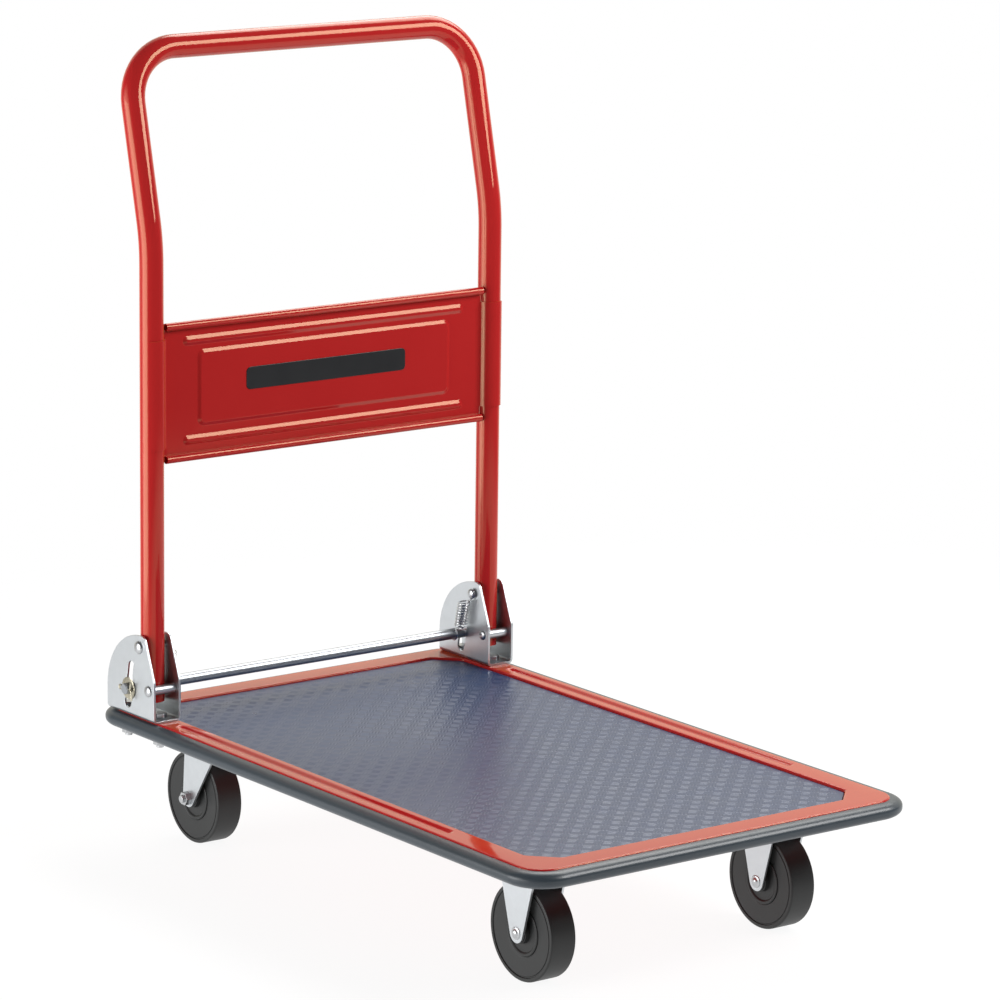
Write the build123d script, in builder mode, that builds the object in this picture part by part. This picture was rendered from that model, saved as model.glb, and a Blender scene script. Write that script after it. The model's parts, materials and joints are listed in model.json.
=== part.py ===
from build123d import *
from math import cos, dist, hypot, pi, radians, sin, sqrt
import os

# Folding platform cart: a pressed steel deck on four casters, with a tube handle that folds down.
# Millimetres. X runs forwards from the handle end, Y to the pusher's left, Z up from the floor.

# Platform
deck_length = 754.0
deck_width = 461.0
deck_corner_radius = 28.0
pan_sheet = 1.5
rim_depth = 17.0
border_width = 28.5
recess_depth = 7.0
recess_corner_cut = 25.0
recess_corner_round = 6.0
groove_width = 12.0
groove_depth = 3.0
groove_rear_gap = 17.5
groove_front_setback = 155.0
pressed_edge_round = 0.8
mat_thickness = 4.6
mat_side_gap = 0.6
bumper_height = 16.5
bumper_drop = 1.5
bumper_reach = 13.0
bumper_round = 7.5

# Cross members under the pan
member_depth = 10.0
member_sheet = 2.0
member_margin = 8.0
member_end_gap = 0.5
spacer_radius = 8.0

# Casters
caster_height = 128.5
front_axle_setback = 105.0
swivel_setback = 94.0
wheel_inset = 78.5
swivel_trail = 26.0
wheel_diameter = 100.0
wheel_width = 30.0
tread_shoulder = 4.0
rim_band = 8.0
flank_dish = 2.0
core_radius = 25.0
core_width = 22.0
core_lip = 1.5
hub_length = 35.4
hub_boss_radius = 11.0
hub_ring_width = 5.0
hub_web = 20.0
hub_end_gap = 0.5
sleeve_radius = 6.5
axle_radius = 4.0
axle_head_radius = 6.5
axle_head_height = 3.0
fork_sheet = 2.5
fork_top_width = 63.0
fork_foot_radius = 10.0
fork_corner_radius = 8.0
plate_length = 104.0
plate_width = 84.0
plate_corner_radius = 8.0
plate_bolt_spacing_x = 80.0
plate_bolt_spacing_y = 60.0
crown_radius = 27.0
ball_radius = 2.5
ball_count = 18
race_radius = 20.0
race_depth = 0.6
kingpin_radius = 5.0
kingpin_head_radius = 11.0
kingpin_head_height = 3.0

# Handle brackets, and the reach of each plate from the leg's axis
bracket_sheet = 2.5
bracket_width = 34.0
bracket_height = 91.0
bracket_bend = 5.0
bracket_rear_reach = 62.5
bracket_front_reach = 28.5
bracket_top_reach = 10.0
bracket_shoulder_height = 44.0
bracket_dome_radius = 66.0
bracket_top_round = 8.0
bracket_shoulder_round = 10.0
bracket_rear_bolt_reach = 47.0
bracket_front_bolt_reach = 14.0

# Handle
leg_setback = 71.0
leg_inset = 11.5
tube_diameter = 25.4
tube_wall = 1.5
pivot_top_distance = 13.0
kink_height = 508.0
kink_radius = 200.0
lean_angle = 13.3
upper_length = 200.5
corner_radius = 57.0
leg_end_gap = 0.5
pivot_radius = 4.0
pivot_head_radius = 7.0
pivot_head_height = 4.0
post_length = 12.0
post_head_radius = 6.0
post_head_height = 3.0
head_round = 1.5
stop_height = 34.0
stop_pin_radius = 3.0
stop_head_radius = 6.0
stop_head_height = 3.0
stop_sleeve_radius = 5.0
stop_gap = 0.3

# Handle panel
panel_sheet = 1.2
panel_forward = 1.0
panel_middle_height = 347.3
panel_height = 147.0
panel_lip_radius = 3.0
panel_tab_height = 116.0
field_width = 320.0
field_height = 76.0
field_corner_radius = 6.0
field_raise = 3.0
bead_width = 7.0
bead_length = 360.0
bead_raise = 2.5
bead_edge_distance = 20.5
press_slope = 30.0

# Lock bar
bar_radius = 6.0
bar_gap = 0.6
bar_drop = 48.0
bar_overhang = 7.0
bar_end_chamfer = 1.0
slot_lean = 10.0
slot_gap = 0.3
slot_above_bar = 24.5
slot_below_bar = 15.7
washer_radius = 12.0
washer_thickness = 1.5
washer_gap = 0.3
split_pin_radius = 1.2
split_pin_tail = 2.0
split_pin_leg = 10.0
split_pin_eye_radius = 2.5
split_pin_eye_wire = 1.0

# Lock springs
spring_wire_radius = 0.75
spring_coil_radius = 6.7
spring_half_turns = 17
spring_hook_gap = 0.5
spring_plate_gap = 0.6
spring_slant = 12.0
spring_top_lead = 4.5
spring_bottom_lead = 6.0

# Fasteners and fits
bolt_radius = 4.0
bolt_hole_gap = 0.4
hex_flats = 13.0
hex_head_height = 5.3
nut_height = 6.5
nut_thread_length = 3.0
flat_washer_radius = 8.5
flat_washer_thickness = 1.6
seat_gap = 0.05
running_gap = 0.08
end_play = 0.3

# Heights
wheel_radius = wheel_diameter / 2
plate_bottom = caster_height - fork_sheet
member_bottom = caster_height
web_top = member_bottom + member_sheet
recess_floor = caster_height + member_depth + pan_sheet
deck_top = recess_floor + recess_depth
border_underside = deck_top - pan_sheet
bumper_bottom = deck_top - bumper_drop - bumper_height
base_top = deck_top + bracket_sheet
pivot_z = deck_top + bracket_height - pivot_top_distance
kink_z = deck_top + kink_height
ball_z = plate_bottom - ball_radius + race_depth
crown_top = ball_z - ball_radius + race_depth
crown_bottom = crown_top - fork_sheet

# Plan positions
leg_x = leg_setback - deck_length / 2
leg_y = deck_width / 2 - leg_inset
wheel_y = deck_width / 2 - wheel_inset
front_axle_x = deck_length / 2 - front_axle_setback
swivel_x = swivel_setback - deck_length / 2
rear_axle_x = swivel_x - swivel_trail
bracket_bolts_x = (leg_x - bracket_rear_bolt_reach, leg_x + bracket_front_bolt_reach)

# Sizes that follow from the fits
recess_length = deck_length - 2 * border_width
recess_width = deck_width - 2 * border_width
member_width = deck_width - 2 * (pan_sheet + member_end_gap)
member_reach = deck_length - 2 * (pan_sheet + member_end_gap)
member_corner_radius = deck_corner_radius - pan_sheet - member_end_gap
groove_rear = leg_x + bracket_front_reach + groove_rear_gap
groove_front = deck_length / 2 - groove_front_setback
groove_length = groove_front - groove_rear
groove_middle = (groove_front + groove_rear) / 2
groove_y = (deck_width - border_width) / 2
fork_gap = hub_length + 2 * hub_end_gap
fork_half = fork_gap / 2 + fork_sheet
bolt_hole_radius = bolt_radius + bolt_hole_gap
tube_radius = tube_diameter / 2
plate_inside = bracket_width - 2 * bracket_sheet
bracket_half = bracket_width / 2
bar_x = leg_x - tube_radius - bar_radius - bar_gap
bar_z = pivot_z - bar_drop
bar_half = leg_y + bracket_half + bar_overhang
stop_x = leg_x + tube_radius + stop_sleeve_radius + stop_gap
stop_z = deck_top + stop_height
leg_end_radius = hypot(bar_x - leg_x, bar_drop) - bar_radius - leg_end_gap
sides = {"left": 1, "right": -1}


def save(piece, name):
    """Labels a finished piece and writes it under its own name."""
    piece.part.label = name
    export_step(piece.part, f"parts/{name}.step")


def side_plane(x, y, z):
    """An upright plane across Y, with its own axes along X and Z, facing the cart's right."""
    return Plane(origin=(x, y, z), x_dir=(1, 0, 0), z_dir=(0, -1, 0))


def axle_plane(x, y):
    """An upright plane through a wheel's axle, with its own axes along Y and Z."""
    return Plane(origin=(x, y, wheel_radius), x_dir=(0, 1, 0), z_dir=(1, 0, 0))


def rod(x, y_from, y_to, z, radius, mode=Mode.ADD):
    """A round bar along Y in the piece being built."""
    with Locations((x, (y_from + y_to) / 2, z)):
        Cylinder(radius, abs(y_to - y_from), rotation=(90, 0, 0), mode=mode)


def hexagon(plane):
    """A bolt head's or nut's outline."""
    with BuildSketch(plane) as outline:
        RegularPolygon(hex_flats / 2, 6, major_radius=False)
    return outline.sketch


def rounded_rectangle(height, length, width, radius):
    """A flat rounded outline centred on the cart, at a height."""
    with BuildSketch(Plane.XY.offset(height)) as outline:
        RectangleRounded(length, width, radius)
    return outline.sketch


def recess_outline(height, growth):
    """The recess's outline, its corners cut at 45 degrees, grown evenly all round, at a height."""
    with BuildSketch(Plane.XY.offset(height)) as outline:
        Rectangle(recess_length + 2 * growth, recess_width + 2 * growth)
        chamfer(outline.vertices(), length=recess_corner_cut + growth * (2 - sqrt(2)))
        fillet(outline.vertices(), radius=recess_corner_round + growth)
    return outline.sketch


os.makedirs("parts", exist_ok=True)

# Deck pan: border sheet, folded rim, recess for the mat and a pressed groove in each long border
bracket_bolt_spots = [(x, side * leg_y) for x in bracket_bolts_x for side in sides.values()]

with BuildPart() as deck_pan:
    extrude(rounded_rectangle(deck_top - rim_depth, deck_length, deck_width, deck_corner_radius),
            amount=rim_depth)
    extrude(rounded_rectangle(deck_top - rim_depth, deck_length - 2 * pan_sheet,
                              deck_width - 2 * pan_sheet, deck_corner_radius - pan_sheet),
            amount=rim_depth - pan_sheet, mode=Mode.SUBTRACT)
    extrude(recess_outline(recess_floor - pan_sheet, pan_sheet), amount=recess_depth)
    extrude(recess_outline(recess_floor, 0), amount=recess_depth, mode=Mode.SUBTRACT)
    with BuildSketch(Plane.XY.offset(border_underside - groove_depth)):
        with Locations((groove_middle, groove_y), (groove_middle, -groove_y)):
            SlotOverall(groove_length + 2 * pan_sheet, groove_width + 2 * pan_sheet)
    extrude(amount=groove_depth)
    with BuildSketch(Plane.XY.offset(deck_top - groove_depth)):
        with Locations((groove_middle, groove_y), (groove_middle, -groove_y)):
            SlotOverall(groove_length, groove_width)
    extrude(amount=groove_depth, mode=Mode.SUBTRACT)
    fillet(deck_pan.edges().group_by(Axis.Z)[-1], radius=pressed_edge_round)
    with Locations(*[(x, y, deck_top) for x, y in bracket_bolt_spots]):
        Hole(bolt_hole_radius, depth=2 * pan_sheet)
save(deck_pan, "deck_pan")

with BuildPart() as deck_mat:
    extrude(recess_outline(recess_floor, -mat_side_gap), amount=mat_thickness)
save(deck_mat, "deck_mat")

# Moulded bumper round the pan's rim, its top a little below the border
with BuildPart() as edge_bumper:
    extrude(rounded_rectangle(bumper_bottom, deck_length + 2 * bumper_reach,
                              deck_width + 2 * bumper_reach, deck_corner_radius + bumper_reach),
            amount=bumper_height)
    outer_edges = edge_bumper.edges().group_by(Axis.Z)
    fillet(outer_edges[0] + outer_edges[-1], radius=min(bumper_round, bumper_height * 0.45))
    extrude(rounded_rectangle(bumper_bottom, deck_length, deck_width, deck_corner_radius),
            amount=bumper_height, mode=Mode.SUBTRACT)
save(edge_bumper, "edge_bumper")

# Casters stand at these plate centres
caster_spots = [(x, side * wheel_y) for x in (front_axle_x, swivel_x) for side in sides.values()]
caster_bolt_spots = [
    (x + i * plate_bolt_spacing_x / 2, y + j * plate_bolt_spacing_y / 2)
    for x, y in caster_spots
    for i in (-1, 1)
    for j in (-1, 1)
]


def cross_member(name, rear, front, holes):
    """A channel across the pan's underside, open upwards, that carries the casters."""
    middle = (rear + front) / 2
    with BuildPart() as member:
        with BuildSketch(Plane.XY.offset(member_bottom)):
            with Locations((middle, 0)):
                Rectangle(front - rear, member_width)
        extrude(amount=member_depth)
        with BuildSketch(Plane.XY.offset(web_top)):
            with Locations((middle, 0)):
                Rectangle(front - rear - 2 * member_sheet, member_width)
        extrude(amount=member_depth, mode=Mode.SUBTRACT)
        extrude(rounded_rectangle(member_bottom, member_reach, member_width, member_corner_radius),
                amount=member_depth, mode=Mode.INTERSECT)
        with Locations(*[(x, y, web_top) for x, y in holes]):
            Hole(bolt_hole_radius, depth=2 * member_sheet)
    save(member, name)


member_half = plate_length / 2 + member_margin
cross_member("front_cross_member", front_axle_x - member_half, front_axle_x + member_half,
             [spot for spot in caster_bolt_spots if spot[0] > 0])
cross_member("rear_cross_member", bracket_bolts_x[0] - spacer_radius - member_margin,
             swivel_x + member_half,
             [spot for spot in caster_bolt_spots if spot[0] < 0] + bracket_bolt_spots)

with BuildPart() as bracket_spacers:
    with BuildSketch(Plane.XY.offset(web_top)):
        with Locations(*bracket_bolt_spots):
            Circle(spacer_radius)
            Circle(bolt_hole_radius, mode=Mode.SUBTRACT)
    extrude(amount=border_underside - web_top)
save(bracket_spacers, "bracket_spacers")


def bolts(name, spots, seat, length):
    """Hex bolts standing in their holes, heads up on a seat."""
    with BuildPart() as group:
        for x, y in spots:
            extrude(hexagon(Plane((x, y, seat))), amount=hex_head_height)
            with Locations((x, y, seat)):
                Cylinder(bolt_radius, length, align=(Align.CENTER, Align.CENTER, Align.MAX))
    save(group, name)


def nuts(name, spots, seat):
    """Hex nuts under a seat, threaded on the bolts that come through it."""
    with BuildPart() as group:
        for x, y in spots:
            extrude(hexagon(Plane((x, y, seat))), amount=-nut_height)
            with Locations((x, y, seat)):
                Hole(bolt_radius + seat_gap, depth=nut_height)
    save(group, name)


bolts("caster_bolts", caster_bolt_spots, web_top,
      web_top - plate_bottom + nut_height + nut_thread_length)
nuts("caster_nuts", caster_bolt_spots, plate_bottom)
bolts("bracket_bolts", bracket_bolt_spots, base_top,
      base_top - member_bottom + flat_washer_thickness + nut_height + nut_thread_length)
nuts("bracket_nuts", bracket_bolt_spots, member_bottom - flat_washer_thickness)

with BuildPart() as bracket_washers:
    with BuildSketch(Plane.XY.offset(member_bottom - flat_washer_thickness)):
        with Locations(*bracket_bolt_spots):
            Circle(flat_washer_radius)
            Circle(bolt_hole_radius, mode=Mode.SUBTRACT)
    extrude(amount=flat_washer_thickness)
save(bracket_washers, "bracket_washers")


def handle_bracket(name, side):
    """A bent channel: domed rear edge, slanting front edge, lock slots, pivot and stop holes."""
    y = side * leg_y
    channel = Plane(origin=(leg_x - bracket_rear_reach, y, deck_top), x_dir=(0, 1, 0), z_dir=(1, 0, 0))
    length = bracket_rear_reach + bracket_front_reach
    with BuildPart() as bracket:
        with BuildSketch(channel) as outside:
            Rectangle(bracket_width, bracket_height, align=(Align.CENTER, Align.MIN))
            fillet(outside.vertices().group_by(Axis.Y)[0], radius=bracket_bend)
        extrude(amount=length)
        with BuildSketch(channel) as inside:
            with Locations((0, bracket_sheet)):
                Rectangle(plate_inside, bracket_height, align=(Align.CENTER, Align.MIN))
            fillet(inside.vertices().group_by(Axis.Y)[0], radius=bracket_bend - bracket_sheet)
        extrude(amount=length, mode=Mode.SUBTRACT)
        with BuildSketch(side_plane(leg_x, y + bracket_width, deck_top)):
            with BuildLine():
                rear = -bracket_rear_reach
                dome_foot = (rear, bracket_height - bracket_dome_radius)
                dome_top = (rear + bracket_dome_radius, bracket_height)
                Line((rear, 0), dome_foot)
                TangentArc(dome_foot, dome_top, tangent=(0, 1))
                FilletPolyline(dome_top, (bracket_top_reach, bracket_height),
                               (bracket_front_reach, bracket_shoulder_height), (bracket_front_reach, 0),
                               radius=[bracket_top_round, bracket_shoulder_round])
                Line((bracket_front_reach, 0), (rear, 0))
            make_face()
        extrude(amount=2 * bracket_width, mode=Mode.INTERSECT)
        with BuildSketch(side_plane(bar_x, y + bracket_width, bar_z)):
            slot_middle = (slot_above_bar - slot_below_bar) / 2
            with Locations((slot_middle * sin(radians(slot_lean)), slot_middle * cos(radians(slot_lean)))):
                SlotCenterToCenter(slot_above_bar + slot_below_bar, 2 * (bar_radius + slot_gap),
                                   rotation=90 - slot_lean)
        extrude(amount=2 * bracket_width, mode=Mode.SUBTRACT)
        rod(leg_x, y - bracket_width, y + bracket_width, pivot_z, pivot_radius + seat_gap, Mode.SUBTRACT)
        rod(stop_x, y - bracket_width, y + bracket_width, stop_z, stop_pin_radius + seat_gap, Mode.SUBTRACT)
        with Locations(*[(x, y, base_top) for x in bracket_bolts_x]):
            Hole(bolt_hole_radius, depth=2 * bracket_sheet)
    save(bracket, name)


def handle_pivot(name, side):
    """A headed pin through a bracket and a handle leg, whose inner end is the spring's post."""
    outer = side * (leg_y + bracket_half)
    inner = side * (leg_y - bracket_half)
    post_end = inner - side * post_length
    with BuildPart() as pin:
        rod(leg_x, outer, post_end, pivot_z, pivot_radius)
        rod(leg_x, outer, outer + side * pivot_head_height, pivot_z, pivot_head_radius)
        rod(leg_x, post_end, post_end - side * post_head_height, pivot_z, post_head_radius)
        ends = pin.faces().sort_by(Axis.Y)
        fillet(ends[0].edges() + ends[-1].edges(), radius=head_round)
    save(pin, name)


def stop_pin(name, side):
    """A rivet through both plates of a bracket, in front of the handle leg."""
    near = side * leg_y - bracket_half
    far = side * leg_y + bracket_half
    with BuildPart() as pin:
        rod(stop_x, near - stop_head_height, near, stop_z, stop_head_radius)
        rod(stop_x, near, far, stop_z, stop_pin_radius)
        rod(stop_x, far, far + stop_head_height, stop_z, stop_head_radius)
        ends = pin.faces().sort_by(Axis.Y)
        fillet(ends[0].edges() + ends[-1].edges(), radius=head_round)
    save(pin, name)


def stop_sleeve(name, side):
    """The tube on a stop pin that the upright handle leg leans against."""
    y = side * leg_y
    half = plate_inside / 2 - end_play
    with BuildPart() as sleeve:
        rod(stop_x, y - half, y + half, stop_z, stop_sleeve_radius)
        rod(stop_x, y - half, y + half, stop_z, stop_pin_radius + seat_gap, Mode.SUBTRACT)
    save(sleeve, name)


for hand, side in sides.items():
    handle_bracket(f"bracket_{hand}", side)
    handle_pivot(f"handle_pivot_{hand}", side)
    stop_pin(f"stop_pin_{hand}", side)
    stop_sleeve(f"stop_sleeve_{hand}", side)

# Handle frame: one bent tube, kinked backwards above the panel.
# Each leg stops on an arc about its pivot, just inside the lock bar, so that it swings past the bar.
upper_x = leg_x - upper_length * sin(radians(lean_angle))
upper_z = kink_z + upper_length * cos(radians(lean_angle))
leg_foot = (leg_x, leg_y, pivot_z - leg_end_radius)

with BuildPart() as handle_frame:
    with BuildLine() as tube_path:
        FilletPolyline(leg_foot, (leg_x, leg_y, kink_z), (upper_x, leg_y, upper_z),
                       (upper_x, -leg_y, upper_z), (leg_x, -leg_y, kink_z),
                       (leg_x, -leg_y, leg_foot[2]),
                       radius=[kink_radius, corner_radius, corner_radius, kink_radius])
    with BuildSketch(Plane(leg_foot)):
        Circle(tube_radius)
        Circle(tube_radius - tube_wall, mode=Mode.SUBTRACT)
    sweep(path=tube_path.line)
    with BuildSketch(side_plane(leg_x, leg_y + tube_diameter, pivot_z)):
        with Locations((0, -leg_end_radius)):
            Rectangle(2 * tube_diameter, 2 * leg_end_radius)
        Circle(leg_end_radius, mode=Mode.SUBTRACT)
    extrude(amount=2 * (leg_y + tube_diameter), mode=Mode.SUBTRACT)
    rod(leg_x, -leg_y - tube_diameter, leg_y + tube_diameter, pivot_z, pivot_radius + running_gap,
        Mode.SUBTRACT)
save(handle_frame, "handle_frame")

# Handle panel: pressed sheet between the legs, its tabs wrapping the front of each leg
panel_x = leg_x + panel_forward
panel_middle = deck_top + panel_middle_height
panel_half = leg_y - tube_radius - seat_gap - panel_sheet / 2
panel_face = Plane(origin=(panel_x, 0, panel_middle), x_dir=(0, 1, 0), z_dir=(1, 0, 0))
bead_height = panel_height / 2 - bead_edge_distance

with BuildPart() as handle_panel:
    with BuildSketch(panel_face):
        Rectangle(2 * panel_half, panel_height)
    extrude(amount=panel_sheet)
    with BuildSketch(panel_face.offset(panel_sheet)):
        RectangleRounded(field_width, field_height, field_corner_radius)
    extrude(amount=field_raise, taper=press_slope)
    with BuildSketch(panel_face):
        RectangleRounded(field_width - 2 * panel_sheet, field_height - 2 * panel_sheet, field_corner_radius)
    extrude(amount=field_raise, taper=press_slope, mode=Mode.SUBTRACT)
    with BuildSketch(panel_face.offset(panel_sheet)):
        with Locations((0, bead_height), (0, -bead_height)):
            SlotOverall(bead_length, bead_width)
    extrude(amount=bead_raise, taper=press_slope)
    for end in (-1, 1):
        rod(panel_x + panel_lip_radius, -panel_half, panel_half,
            panel_middle + end * (panel_height / 2 - panel_lip_radius), panel_lip_radius)
    for side in sides.values():
        with BuildSketch(Plane.XY.offset(panel_middle - panel_tab_height / 2)):
            with Locations((leg_x, side * leg_y)):
                Circle(tube_radius + seat_gap + panel_sheet)
                Circle(tube_radius + seat_gap, mode=Mode.SUBTRACT)
            with Locations((panel_x + tube_diameter / 2, side * (leg_y - tube_diameter / 2))):
                Rectangle(tube_diameter, tube_diameter, mode=Mode.INTERSECT)
        extrude(amount=panel_tab_height)
save(handle_panel, "handle_panel")

# Lock bar across both brackets, held at each end by a washer and a split pin
washer_inner = leg_y + bracket_half + washer_gap
split_pin_y = (washer_inner + washer_thickness + bar_half) / 2
split_pin_front = bar_x + bar_radius + split_pin_tail
split_pin_rear = bar_x - bar_radius - split_pin_eye_wire - washer_gap

with BuildPart() as lock_bar:
    rod(bar_x, -bar_half, bar_half, bar_z, bar_radius)
    bar_ends = lock_bar.faces().sort_by(Axis.Y)
    chamfer(bar_ends[0].edges() + bar_ends[-1].edges(), length=bar_end_chamfer)
    with Locations((bar_x, split_pin_y, bar_z), (bar_x, -split_pin_y, bar_z)):
        Cylinder(split_pin_radius + seat_gap, 4 * bar_radius, rotation=(0, 90, 0), mode=Mode.SUBTRACT)
save(lock_bar, "lock_bar")

with BuildPart() as bar_washers:
    for side in sides.values():
        outside_face = side * (washer_inner + washer_thickness)
        rod(bar_x, side * washer_inner, outside_face, bar_z, washer_radius)
        rod(bar_x, side * washer_inner, outside_face, bar_z, bar_radius + seat_gap, Mode.SUBTRACT)
save(bar_washers, "bar_washers")

with BuildPart() as split_pins:
    for side in sides.values():
        with Locations((split_pin_rear, side * split_pin_y, bar_z)):
            Cylinder(split_pin_radius, split_pin_front - split_pin_rear, rotation=(0, 90, 0),
                     align=(Align.CENTER, Align.CENTER, Align.MIN))
        with Locations((split_pin_front, side * split_pin_y, bar_z)):
            Sphere(split_pin_radius)
            Cylinder(split_pin_radius, split_pin_leg, align=(Align.CENTER, Align.CENTER, Align.MAX))
        with Locations((split_pin_rear - split_pin_eye_radius, side * split_pin_y, bar_z)):
            Torus(split_pin_eye_radius, split_pin_eye_wire, rotation=(90, 0, 0))
save(split_pins, "split_pins")


def biarc(start, start_way, end, end_way):
    """Two tangent arcs from one point and direction to another."""
    span = end - start
    both = start_way + end_way
    turn = 2 * (1 - start_way.dot(end_way))
    if turn < 1e-9:
        reach = span.dot(span) / (4 * span.dot(end_way))
    else:
        along = span.dot(both)
        reach = (-along + (along * along + turn * span.dot(span)) ** 0.5) / turn
    first = start + start_way * reach
    last = end - end_way * reach
    middle = (first + last) / 2
    TangentArc(start, middle, tangent=start_way)
    TangentArc(middle, end, tangent=last - first)


def least_gap(path, wire_radius):
    """The smallest clear distance of a wound wire to itself, measured on points along it."""
    count = int(path.length / wire_radius)
    points = [tuple(path @ (i / count)) for i in range(count + 1)]
    apart = int(8 * wire_radius * count / path.length)
    nearest = min(
        dist(points[i], points[j])
        for i in range(len(points))
        for j in range(i + apart, len(points))
    )
    return nearest - 2 * wire_radius


def lock_spring(name, side):
    """A tension spring hooked over a spring post and under the lock bar, slanting towards the middle."""
    hook_top = pivot_radius + spring_wire_radius + spring_hook_gap
    hook_bottom = bar_radius + spring_wire_radius + spring_hook_gap
    y = leg_y - bracket_half - spring_coil_radius - spring_wire_radius - spring_plate_gap
    post = Vector(leg_x, side * y, pivot_z)
    bar = Vector(bar_x, side * (y - spring_slant), bar_z)
    down = (bar - post).normalized()
    back = down.cross(Vector(0, 1, 0)).normalized()
    across = back.cross(down)
    coil_start = hook_top + spring_top_lead
    coil_end = (bar - post).length - hook_bottom - spring_bottom_lead
    rise = (coil_end - coil_start) / spring_half_turns
    tail = 2 * spring_wire_radius

    def coil(half_turn):
        """Place and direction on the winding, counted in half turns from the across side."""
        angle = pi / 2 + pi * half_turn
        out = back * cos(angle) + across * sin(angle)
        way = (across * cos(angle) - back * sin(angle)) * spring_coil_radius + down * (rise / pi)
        return post + out * spring_coil_radius + down * (coil_start + rise * half_turn), way.normalized()

    with BuildPart() as spring:
        with BuildLine() as path:
            Line(post - back * hook_top + down * tail, post - back * hook_top)
            ThreePointArc(post - back * hook_top, post - down * hook_top, post + back * hook_top)
            biarc(post + back * hook_top, down, *coil(0))
            for half_turn in range(spring_half_turns):
                biarc(*coil(half_turn), *coil(half_turn + 1))
            biarc(*coil(spring_half_turns), bar + back * hook_bottom, down)
            ThreePointArc(bar + back * hook_bottom, bar + down * hook_bottom, bar - back * hook_bottom)
            Line(bar - back * hook_bottom, bar - back * hook_bottom - down * tail)
        wire = path.wire()
        with BuildSketch(Plane(origin=wire @ 0, z_dir=wire % 0)):
            Circle(spring_wire_radius)
        sweep(path=wire)
    print(name, "least gap to itself", round(least_gap(wire, spring_wire_radius), 2))
    print(name, "volume over section times length",
          round(spring.part.volume / (pi * spring_wire_radius ** 2 * wire.length), 4))
    save(spring, name)


for hand, side in sides.items():
    lock_spring(f"lock_spring_{hand}", side)


def fork_leg(x, y, top, trail):
    """A fork leg's outline: wide under the crown, rounded round the axle."""
    with BuildSketch(side_plane(x, y, wheel_radius)) as outline:
        with Locations((-trail, 0)):
            Circle(fork_foot_radius)
        with Locations((0, top - wheel_radius - fork_sheet / 2)):
            Rectangle(fork_top_width, fork_sheet)
        make_hull()
        with Locations((-trail, 0)):
            Circle(axle_radius + seat_gap, mode=Mode.SUBTRACT)
    return outline.sketch


def front_fork(name, side):
    """A fixed caster's fork: bolt-on plate and two straight legs."""
    y = side * wheel_y
    with BuildPart() as fork:
        with BuildSketch(Plane.XY.offset(plate_bottom)):
            with Locations((front_axle_x, y)):
                RectangleRounded(plate_length, plate_width, plate_corner_radius)
                with GridLocations(plate_bolt_spacing_x, plate_bolt_spacing_y, 2, 2):
                    Circle(bolt_hole_radius, mode=Mode.SUBTRACT)
        extrude(amount=fork_sheet)
        for leg in (y + fork_half, y - fork_gap / 2):
            extrude(fork_leg(front_axle_x, leg, plate_bottom + fork_sheet, 0), amount=fork_sheet)
    save(fork, name)


def swivel_plate(name, side):
    """A swivel caster's bolt-on plate, with the upper ball race in its underside."""
    y = side * wheel_y
    with BuildPart() as plate:
        with BuildSketch(Plane.XY.offset(plate_bottom)):
            with Locations((swivel_x, y)):
                RectangleRounded(plate_length, plate_width, plate_corner_radius)
                Circle(kingpin_radius + seat_gap, mode=Mode.SUBTRACT)
                with GridLocations(plate_bolt_spacing_x, plate_bolt_spacing_y, 2, 2):
                    Circle(bolt_hole_radius, mode=Mode.SUBTRACT)
        extrude(amount=fork_sheet)
        with Locations((swivel_x, y, ball_z)):
            Torus(race_radius, ball_radius + running_gap, mode=Mode.SUBTRACT)
    save(plate, name)


def rear_fork(name, side):
    """A swivel caster's fork: crown with the lower ball race, and two raked legs."""
    y = side * wheel_y
    with BuildPart() as fork:
        with BuildSketch(Plane.XY.offset(crown_bottom)):
            with Locations((swivel_x, y)):
                RectangleRounded(fork_top_width, 2 * fork_half, fork_corner_radius)
                Circle(crown_radius)
                Circle(kingpin_radius + running_gap, mode=Mode.SUBTRACT)
        extrude(amount=fork_sheet)
        for leg in (y + fork_half, y - fork_gap / 2):
            extrude(fork_leg(swivel_x, leg, crown_bottom + fork_sheet / 2, swivel_trail),
                    amount=fork_sheet)
        with Locations((swivel_x, y, ball_z)):
            Torus(race_radius, ball_radius + running_gap, mode=Mode.SUBTRACT)
    save(fork, name)


def swivel_balls(name, side):
    """The ring of balls between a swivel plate and its fork's crown."""
    with BuildPart() as balls:
        with Locations((swivel_x, side * wheel_y, ball_z)):
            with PolarLocations(race_radius, ball_count):
                Sphere(ball_radius)
    save(balls, name)


def kingpin(name, side):
    """The rivet that a rear fork turns on, headed under the crown."""
    head_top = crown_bottom - end_play
    with BuildPart() as pin:
        with Locations((swivel_x, side * wheel_y, head_top)):
            Cylinder(kingpin_radius, caster_height - head_top, align=(Align.CENTER, Align.CENTER, Align.MIN))
            Cylinder(kingpin_head_radius, kingpin_head_height, align=(Align.CENTER, Align.CENTER, Align.MAX))
        fillet(pin.faces().sort_by(Axis.Z)[0].edges(), radius=head_round)
    save(pin, name)


def front_axle(name, side):
    """A riveted axle with a round head outside each leg."""
    near = side * wheel_y - fork_half
    far = side * wheel_y + fork_half
    with BuildPart() as axle:
        rod(front_axle_x, near - axle_head_height, near, wheel_radius, axle_head_radius)
        rod(front_axle_x, near, far, wheel_radius, axle_radius)
        rod(front_axle_x, far, far + axle_head_height, wheel_radius, axle_head_radius)
        ends = axle.faces().sort_by(Axis.Y)
        fillet(ends[0].edges() + ends[-1].edges(), radius=head_round)
    save(axle, name)


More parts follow.
